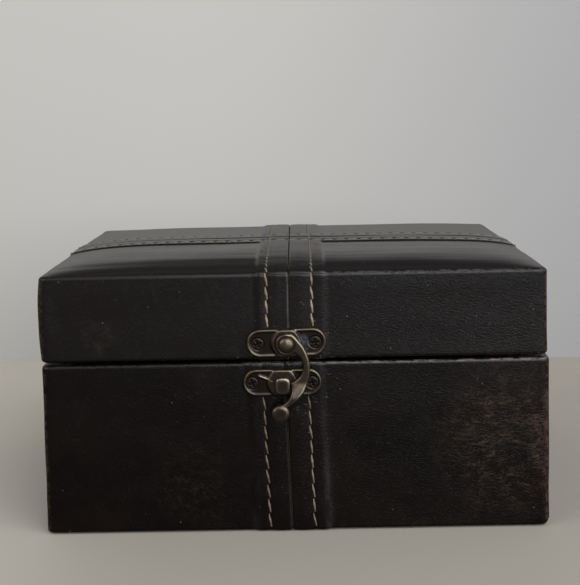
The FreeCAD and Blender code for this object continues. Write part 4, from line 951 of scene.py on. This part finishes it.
def rivetAndStud():
    r, s = latch["rivet"], latch["stud"]
    dome = [(r["round"] * math.sin(a) ** 0.86, r["from"] + 0.14 + r["high"] * math.cos(a)) for a in np.linspace(math.pi / 2, 0.07, 11)]
    profile = [(1.5, 0.9), (1.5, r["from"] - 0.02), (r["round"] - 0.12, r["from"])] + dome
    # the bright lists give rings of painted highlight, partly worn metal, on the rivet's dome and the stud's rounded
    # edge
    rivet = turned("latchRivet", profile, latch["lidPlate"]["at"], "lid", "latch_rivet", [0, 0, 0.2] + [0.35] * 3 + [0.2] * 8, [0] * 14)
    corner = [(s["half"] - s["edge"] * (1 - math.cos(a)), s["to"] - s["edge"] * 0.8 * (1 - math.sin(a)))
              for a in np.linspace(0, math.pi / 2, 7)]
    profile = [(s["half"] - 0.1, s["from"])] + corner + [(1.2, s["to"] + 0.0), (0.5, s["to"] + 0.0)]
    at = (latch["basePlate"]["at"][0] + 0.1, latch["basePlate"]["at"][1] - s["drop"])
    stud = turned("catchStud", profile, at, "base", "catch_stud", [0, 0.1, 0.1, 0.35, 0.7, 0.8, 0.4, 0.1, 0, 0],
                  [0] * 7 + [0.15, 0.4, 0.4], power=3.2, tall=s["tall"])
    return rivet, stud


# cross-head screw, drawn about its own axis and set down by a node group
def screwPattern():
    s = latch["screw"]

    def far(u, v):
        return np.hypot(u, v) - s["head"]

    def front(u, v, inside):
        dome = s["rise"] * (1 - (np.hypot(u, v) / s["head"]) ** 2) - 0.12 * (1 - np.clip(inside / 0.2, 0, 1)) ** 2
        arm = np.minimum(np.maximum(np.abs(u) - s["arm"], np.abs(v) - s["slot"]), np.maximum(np.abs(v) - s["arm"], np.abs(u) - s["slot"]))
        return dome - s["deep"] * (1 - smoothStep(arm, -0.14, 0.10))

    drawn, faces, inside = reliefSolid(far, ((-s["head"], s["head"]), (-s["head"], s["head"])), front,
                                       lambda u, v, inside: -0.42 - np.minimum(inside, 0.9) * 0.75, insets=(0.0, 0.12), grid=0.15)
    count = len(drawn)
    ring = [(r * math.cos(2 * math.pi * k / 14), r * math.sin(2 * math.pi * k / 14), n)
            for r, n in ((s["shank"], -0.9), (s["shank"], -s["long"] + 1.6), (0.15, -s["long"])) for k in range(14)]
    points = np.concatenate([drawn, np.array(ring)])
    faces += [(count + 14 * row + k, count + 14 * row + 14 + k, count + 14 * row + 14 + (k + 1) % 14, count + 14 * row + (k + 1) % 14)
              for row in (0, 1) for k in range(14)]
    faces += [tuple(count + k for k in range(14)), tuple(count + 28 + k for k in range(14))[::-1]]
    pattern = addPiece("screwPattern", points * mm, faces, brass, None)
    arm = np.minimum(np.maximum(np.abs(points[:, 0]) - s["arm"], np.abs(points[:, 1]) - s["slot"]),
                     np.maximum(np.abs(points[:, 1]) - s["arm"], np.abs(points[:, 0]) - s["slot"]))
    addNumbers(pattern, "hollow", np.clip(0.62 + 0.38 * (1 - smoothStep(arm, -0.05, 0.2)), 0, 1))
    addNumbers(pattern, "bright", 0.05 * np.exp(-((np.hypot(points[:, 0], points[:, 1]) - s["head"] + 0.15) / 0.12) ** 2))
    return pattern


def screwNodes():
    tree = bpy.data.node_groups.new("crossScrews", "GeometryNodeTree")
    for name, kind in (("Geometry", "NodeSocketGeometry"), ("Screw", "NodeSocketObject"), ("Size", "NodeSocketFloat"),
                       ("Finish", "NodeSocketMaterial")):
        tree.interface.new_socket(name, in_out="INPUT", socket_type=kind)
    tree.interface.new_socket("Geometry", in_out="OUTPUT", socket_type="NodeSocketGeometry")
    given = addNode(tree, "NodeGroupInput").outputs
    shape = addNode(tree, "GeometryNodeObjectInfo", {"Object": given["Screw"]}).outputs["Geometry"]
    facing = alongSurface(tree)
    laid = addNode(tree, "GeometryNodeInstanceOnPoints", {"Points": given["Geometry"], "Instance": shape, "Rotation": facing,
                                                         "Scale": given["Size"]})
    real = addNode(tree, "GeometryNodeRealizeInstances", {"Geometry": laid.outputs[0]})
    metal = addNode(tree, "GeometryNodeSetMaterial", {"Geometry": real.outputs[0], "Material": given["Finish"]})
    tree.links.new(metal.outputs[0], addNode(tree, "NodeGroupOutput").inputs[0])
    return tree


def driveScrews(name, spots, turns, outward, size, body, node):
    runs = [(math.cos(math.radians(t)), 0, math.sin(math.radians(t))) for t in turns]
    inputs = {"Screw": screwShape, "Size": size, "Finish": brass}
    piece = settle(name, screwGroup, [np.array(s) * mm for s in spots], inputs, body, {"run": runs, "out": [outward] * len(spots)})
    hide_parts(node)
    return piece


pressedPlate("latchPlate", latch["lidPlate"], "lid", "latch_plate")
pressedPlate("catchPlate", latch["basePlate"], "base", "catch_plate")
swingHook()
rivetAndStud()
screwShape = screwPattern()
screwGroup = screwNodes()
for name, spec, body, node, turns in (("latchScrews", latch["lidPlate"], "lid", "latch_plate_screws", (24, 8)),
                                      ("catchScrews", latch["basePlate"], "base", "catch_plate_screws", (20, 12))):
    a = math.radians(spec["tilt"])
    spots = [(spec["at"][0] + x * math.cos(a), -latch["face"] - latch["sheet"] + 0.06, spec["at"][1] + x * math.sin(a)) for x in spec["screws"]]
    driveScrews(name, spots, turns, (0, -1, 0), 1.0, body, node)
print("latch fitted")


# hinges: the leaves and pins keep their drawn shape with softened edges, the screws are driven in from behind

def softenedCopy(node, name, body, edge):
    source = bpy.data.objects[node]
    shape = bmesh.new()
    shape.from_mesh(source.data)
    bmesh.ops.remove_doubles(shape, verts=shape.verts, dist=0.004 * mm)
    bmesh.ops.dissolve_limit(shape, angle_limit=math.radians(1.0), verts=shape.verts, edges=shape.edges)
    mesh = bpy.data.meshes.new(name)
    shape.to_mesh(mesh)
    shape.free()
    piece = bpy.data.objects.new(name, mesh)
    bpy.context.scene.collection.objects.link(piece)
    mesh.materials.append(brass)
    count = len(mesh.vertices)
    addNumbers(piece, "bright", np.full(count, 0.12))
    addNumbers(piece, "hollow", np.zeros(count))
    soft = piece.modifiers.new("softEdge", "BEVEL")
    soft.width, soft.segments, soft.limit_method, soft.angle_limit = edge * mm, 2, "ANGLE", math.radians(35)
    soft.harden_normals = False
    mesh.polygons.foreach_set("use_smooth", [False] * len(mesh.polygons))
    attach(piece, body)
    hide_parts(node)
    return piece


hinge = {"screwsX": (-56.0, -44.0, 44.0, 56.0), "axis": 61.95, "screwUp": 8.0, "face": 65.8, "size": 0.93, "edge": 0.14}
for side in ("left", "right"):
    softenedCopy(f"hinge_{side}_base_leaf", side + "HingeBaseLeaf", "base", hinge["edge"])
    softenedCopy(f"hinge_{side}_lid_leaf", side + "HingeLidLeaf", "lid", hinge["edge"])
    softenedCopy(f"hinge_{side}_pin", side + "HingePin", "base", 0.1)
for body, node, way in (("base", "hinge_base_screws", -1), ("lid", "hinge_lid_screws", 1)):
    spots = [(x, hinge["face"] + 0.62, hinge["axis"] + way * hinge["screwUp"]) for x in hinge["screwsX"]]
    driveScrews(body + "HingeScrews", spots, (10, 37, 62, 21), (0, 1, 0), hinge["size"], body, node)
bpy.data.objects.remove(screwShape)
print("hinges fitted")


# cloth inside and felt below, each cut to size and laid or glued flat

linings = {
    "cloth": 0.7, "half": (82.9, 57.9), "corner": 1.6, "puff": 0.22,
    "base": {"floor": 5.6, "walls": (6.35, 48.6)}, "lid": {"ceiling": 88.2, "walls": (75.25, 87.45)},
    "felt": {"half": (86.0, 61.0), "corner": 5.0, "thick": 0.55, "up": 0.02},
}


# flat sheet with rounded corners, its upper face given by a height over the floor plane
def layCloth(name, half, corner, level, thick, finish, body, node, facing, puff):
    us = np.linspace(-1, 1, 85)
    vs = np.linspace(-1, 1, 61)
    points, faces = [], []
    for side in (0, 1):
        for a in us:
            for b in vs:
                x, y = a * half[0], b * half[1]
                inX, inY = half[0] - abs(x), half[1] - abs(y)
                if inX < corner and inY < corner:
                    dx, dy = corner - inX, corner - inY
                    pull = max(abs(dx), abs(dy)) / math.hypot(dx, dy)
                    x = math.copysign(half[0] - corner + dx * pull, x)
                    y = math.copysign(half[1] - corner + dy * pull, y)
                edge = min(inX, inY)
                wave = noise.noise(Vector((x * 0.03, y * 0.04, 5.0 + level))) * puff * min(1, edge / 8)
                swell = (puff + wave) * min(1, edge / 12) - 0.1 * max(0, 1 - edge / 1.2)
                points.append((x, y, level + facing * ((thick + swell) if side else 0)))
    rows, columns = len(us), len(vs)
    for side in (0, 1):
        start = side * rows * columns
        for i in range(rows - 1):
            for j in range(columns - 1):
                quad = (start + i * columns + j, start + (i + 1) * columns + j, start + (i + 1) * columns + j + 1, start + i * columns + j + 1)
                faces.append(quad if (side == 1) == (facing > 0) else quad[::-1])
    rim = [i * columns for i in range(rows)] + [(rows - 1) * columns + j for j in range(1, columns)]
    rim += [i * columns + columns - 1 for i in range(rows - 2, -1, -1)] + [j for j in range(columns - 2, 0, -1)]
    other = rows * columns
    for a, b in zip(rim, rim[1:] + rim[:1]):
        quad = (a, b, b + other, a + other)
        faces.append(quad if facing > 0 else quad[::-1])
    piece = addPiece(name, np.array(points) * mm, faces, finish, body)
    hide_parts(node)
    return piece


# strip of cloth glued round the inside walls, closed at a back corner
def lineWalls(name, low, high, body, node):
    c = linings
    path = []
    for cx, cy, start in ((1, 1, 0), (-1, 1, 90), (-1, -1, 180), (1, -1, 270)):
        for step in range(5):
            a = math.radians(start + step * 22.5)
            path.append((cx * (c["half"][0] - c["corner"]) + c["corner"] * math.cos(a), cy * (c["half"][1] - c["corner"]) + c["corner"] * math.sin(a)))
    line = []
    for a, b in zip(path, path[1:] + path[:1]):
        count = max(1, round(math.dist(a, b) / 2.2))
        line += [(a[0] + (b[0] - a[0]) * k / count, a[1] + (b[1] - a[1]) * k / count) for k in range(count)]
    levels = np.linspace(low, high, max(4, round((high - low) / 2.2)))
    ahead = np.roll(np.array(line), -1, axis=0) - np.roll(np.array(line), 1, axis=0)
    inward = np.stack([-ahead[:, 1], ahead[:, 0]], 1) / np.hypot(*ahead.T)[:, None]
    points, faces = [], []
    for side in (0, 1):
        for z in levels:
            ends = min(z - low, high - z)
            for (x, y), (nx, ny) in zip(line, inward):
                soft = c["puff"] * (0.6 + noise.noise(Vector((x * 0.05, y * 0.05, z * 0.06)))) * min(1, ends / 4)
                deep = (c["cloth"] - 0.12 * max(0, 1 - ends / 0.8) + soft) if side else 0.0
                points.append((x + nx * deep, y + ny * deep, z))
    around, tall = len(line), len(levels)
    for side in (0, 1):
        for i in range(tall - 1):
            for k in range(around):
                a, b = side * tall * around + i * around + k, side * tall * around + i * around + (k + 1) % around
                quad = (a, b, b + around, a + around)
                faces.append(quad[::-1] if side else quad)
    for row, flip in ((0, False), (tall - 1, True)):
        for k in range(around):
            a, b = row * around + k, row * around + (k + 1) % around
            quad = (a, a + tall * around, b + tall * around, b)
            faces.append(quad[::-1] if flip else quad)
    piece = addPiece(name, np.array(points) * mm, faces, suede, body)
    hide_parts(node)
    return piece


c = linings
floorCloth = layCloth("baseFloorCloth", c["half"], c["corner"], c["base"]["floor"], c["cloth"], suede, "base", "base_lining_floor", 1, c["puff"])
ceilingCloth = layCloth("lidCeilingCloth", c["half"], c["corner"], c["lid"]["ceiling"], c["cloth"], suede, "lid", "lid_lining_top", -1, c["puff"])
lineWalls("baseWallCloth", *c["base"]["walls"], "base", "base_lining_walls")
lineWalls("lidWallCloth", *c["lid"]["walls"], "lid", "lid_lining_walls")
f = c["felt"]
feltSheet = layCloth("undersideFelt", f["half"], f["corner"], f["up"], f["thick"], felt, "base", "underside_felt", 1, 0.0)
print("linings cut and laid")


# foam pad under the lid's leather: crowned on top, flat where it lies on the board

pad = {"half": (88.9, 63.9), "foot": 92.25, "under": 1.15, "fill": 0.8}


def foamPad():
    us, vs = np.linspace(-1, 1, 73), np.linspace(-1, 1, 57)
    us, vs = np.sin(us * math.pi / 2), np.sin(vs * math.pi / 2)
    points, faces = [], []
    for side in (0, 1):
        for a in us:
            for b in vs:
                x, y = a * pad["half"][0], b * pad["half"][1]
                edge = min(pad["half"][0] - abs(x), pad["half"][1] - abs(y))
                rise = float(crownRise(90 - abs(x))) * float(crownRise(65 - abs(y))) / cover["crown"]
                top = cover["lidTop"] + rise - pad["under"]
                pulled = 1 - 0.004 * max(0, 1 - edge / 2)
                points.append((x * pulled, y * pulled, top if side else pad["foot"]))
    rows, columns = len(us), len(vs)
    for side in (0, 1):
        start = side * rows * columns
        for i in range(rows - 1):
            for j in range(columns - 1):
                quad = (start + i * columns + j, start + (i + 1) * columns + j, start + (i + 1) * columns + j + 1, start + i * columns + j + 1)
                faces.append(quad if side else quad[::-1])
    rim = [i * columns for i in range(rows)] + [(rows - 1) * columns + j for j in range(1, columns)]
    rim += [i * columns + columns - 1 for i in range(rows - 2, -1, -1)] + [j for j in range(columns - 2, 0, -1)]
    other = rows * columns
    faces += [(a, b, b + other, a + other) for a, b in zip(rim, rim[1:] + rim[:1])]
    piece = addPiece("lidFoamPad", np.array(points) * mm, faces, foam, "lid")
    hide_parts("lid_padding")


foamPad()
print("padding laid")


# boards under the leather keep their drawn shape

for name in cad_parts:
    node = bpy.data.objects.get(name)
    if node is not None and any(word in name for word in ("panel", "_wall")) and "lining" not in name:
        node.data.materials.clear()
        node.data.materials.append(board)
print("boards finished")


# shelf, wall, light and camera

room = {
    "wallAt": 0.179, "wallSlant": -0.0449, "wallHigh": 0.236, "half": 3.0,
    # wall and shelf colours hold painted light and shade: the wall lighter on the left, darker copies and a dim band
    # for reflections, the shelf lighter left of the box and darker for reflected rays
    "wallLeft": (0.86, 0.83, 0.77), "wallLeftMirrored": (0.59, 0.565, 0.530), "wallRightMirrored": (0.515, 0.490, 0.470), "wallRight": (0.600, 0.578, 0.572), "dimFrom": (0.142, 0.172), "dim": (0.05, 0.05, 0.05), "shelf": (0.53, 0.48, 0.41), "shelfLitLeft": (0.66, 0.61, 0.53), "shelfNear": (0.068, 0.057, 0.050), "shelfFar": (0.165, 0.160, 0.150),
    "haze": (0.52, 0.52, 0.52), "ambient": (0.30, 0.31, 0.33), "mirrored": (0.086, 0.083, 0.089),
}


def stagePiece(name, corners, finish):
    piece = addPiece(name, corners, [(0, 1, 2, 3)], finish, None, smooth=False)
    return piece


def shelfPaint():
    finish, tree, shader = newFinish("shelfPaint")
    soft = mottle(tree, objectPoint(tree), 0.4, 2.0)
    seen = blend(tree, soft, tuple(v * 0.98 for v in room["shelf"]), room["shelf"])
    # painted light: the shelf is lighter left of the box, where the box's shadow falls
    seen = blend(tree, between(tree, addNode(tree, "ShaderNodeSeparateXYZ", {"Vector": objectPoint(tree)}).outputs["X"], -0.14, -0.04, 1.0, 0.0), seen, room["shelfLitLeft"])
    # painted shade: every ray but the camera's sees a darker shelf, darkest in front, so the box reflects and gathers
    # less light from it
    camera = addNode(tree, "ShaderNodeLightPath").outputs["Is Camera Ray"]
    away = addNode(tree, "ShaderNodeSeparateXYZ", {"Vector": objectPoint(tree)}).outputs["Y"]
    unseen = blend(tree, between(tree, away, -0.42, -0.17), room["shelfFar"], room["shelfNear"])
    tree.links.new(blend(tree, camera, unseen, seen), shader.inputs["Base Color"])
    shader.inputs["Roughness"].default_value = 0.7
    shader.inputs["Specular IOR Level"].default_value = 0.15
    return finish


# seen from behind, the wall lets the camera through
def wallPaint():
    finish, tree, shader = newFinish("wallPaint")
    place = addNode(tree, "ShaderNodeSeparateXYZ", {"Vector": objectPoint(tree)}).outputs["X"]
    # painted light: the wall is lighter on the left and darker on the right
    soft = between(tree, place, -0.08, 0.24)
    glossy = addNode(tree, "ShaderNodeLightPath").outputs["Is Glossy Ray"]
    paint = blend(tree, soft, room["wallLeft"], room["wallRight"])
    # painted shade: reflections see a darker copy of the wall
    paint = blend(tree, glossy, paint, blend(tree, soft, room["wallLeftMirrored"], room["wallRightMirrored"]))
    # painted shade in reflections: the wall is dimmed above 0.142 m and partly near its foot
    above = between(tree, addNode(tree, "ShaderNodeSeparateXYZ", {"Vector": objectPoint(tree)}).outputs["Z"], *room["dimFrom"])
    low = between(tree, addNode(tree, "ShaderNodeSeparateXYZ", {"Vector": objectPoint(tree)}).outputs["Z"], 0.108, 0.124, 0.30, 0.0)
    mirrored = sums(tree, "MULTIPLY", sums(tree, "MAXIMUM", above, low), glossy)
    tree.links.new(blend(tree, mirrored, paint, room["dim"]), shader.inputs["Base Color"])
    shader.inputs["Roughness"].default_value = 0.8
    shader.inputs["Specular IOR Level"].default_value = 0.1
    behind = addNode(tree, "ShaderNodeNewGeometry").outputs["Backfacing"]
    clear = addNode(tree, "ShaderNodeBsdfTransparent")
    mixed = addNode(tree, "ShaderNodeMixShader", {"Fac": behind})
    tree.links.new(shader.outputs["BSDF"], mixed.inputs[1])
    tree.links.new(clear.outputs[0], mixed.inputs[2])
    out = next(n for n in tree.nodes if n.type == "OUTPUT_MATERIAL")
    tree.links.new(mixed.outputs[0], out.inputs["Surface"])
    return finish


s = room["half"]
stagePiece("shelf", [(-s, -s, 0), (s, -s, 0), (s, s, 0), (-s, s, 0)], shelfPaint())
left, right = (room["wallAt"] - room["wallSlant"] * s, room["wallAt"] + room["wallSlant"] * s)
stagePiece("wall", [(-s, left, 0), (s, right, 0), (s, right, room["wallHigh"]), (-s, left, room["wallHigh"])], wallPaint())

lamps = {
    "window": {"at": (0.80, -1.18, 0.95), "size": 2.0, "power": 24.3, "colour": (0.93, 0.965, 1.0)},
    "fill": {"at": (-1.1, -0.7, 0.9), "size": 1.0, "power": 4.0, "colour": (1.0, 0.97, 0.93)},
}
for name, lamp in lamps.items():
    light = bpy.data.lights.new(name, "AREA")
    light.shape, light.size, light.energy, light.color = "SQUARE", lamp["size"], lamp["power"], lamp["colour"]
    holder = bpy.data.objects.new(name, light)
    bpy.context.scene.collection.objects.link(holder)
    holder.location = lamp["at"]
    holder.rotation_euler = (Vector((0, 0, 0.05)) - holder.location).to_track_quat("-Z", "Y").to_euler()

world = bpy.data.worlds.new("roomLight")
bpy.context.scene.world = world
world.use_nodes = True
sky = world.node_tree
path = addNode(sky, "ShaderNodeLightPath").outputs
around = blend(sky, path["Is Glossy Ray"], room["ambient"], room["mirrored"])
sky.links.new(blend(sky, path["Is Camera Ray"], around, room["haze"]), sky.nodes["Background"].inputs["Color"])
sky.nodes["Background"].inputs["Strength"].default_value = 1.0

viewing = {"at": (0.00203, -0.42323, 0.15433), "turn": 0.349, "dip": 4.219, "lean": -1.152, "lens": 63.294, "shift": -0.2009}


def placeCamera():
    turn, dip, lean = (math.radians(viewing[k]) for k in ("turn", "dip", "lean"))
    right = Vector((math.cos(turn), math.sin(turn), 0))
    ahead = Vector((-math.sin(turn), math.cos(turn), 0))
    up = Vector((0, 0, 1))
    aim = ahead * math.cos(dip) - up * math.sin(dip)
    over = up * math.cos(dip) + ahead * math.sin(dip)
    across = right * math.cos(lean) + over * math.sin(lean)
    upright = over * math.cos(lean) - right * math.sin(lean)
    lens = bpy.data.cameras.new("camera")
    lens.lens, lens.shift_y, lens.clip_start = viewing["lens"], viewing["shift"], 0.01
    camera = bpy.data.objects.new("camera", lens)
    bpy.context.scene.collection.objects.link(camera)
    camera.matrix_world = Matrix.Translation(viewing["at"]) @ Matrix((across, upright, -aim)).transposed().to_4x4()
    bpy.context.scene.camera = camera


placeCamera()
bpy.context.scene.view_settings.view_transform = "Standard"
print("stage set")
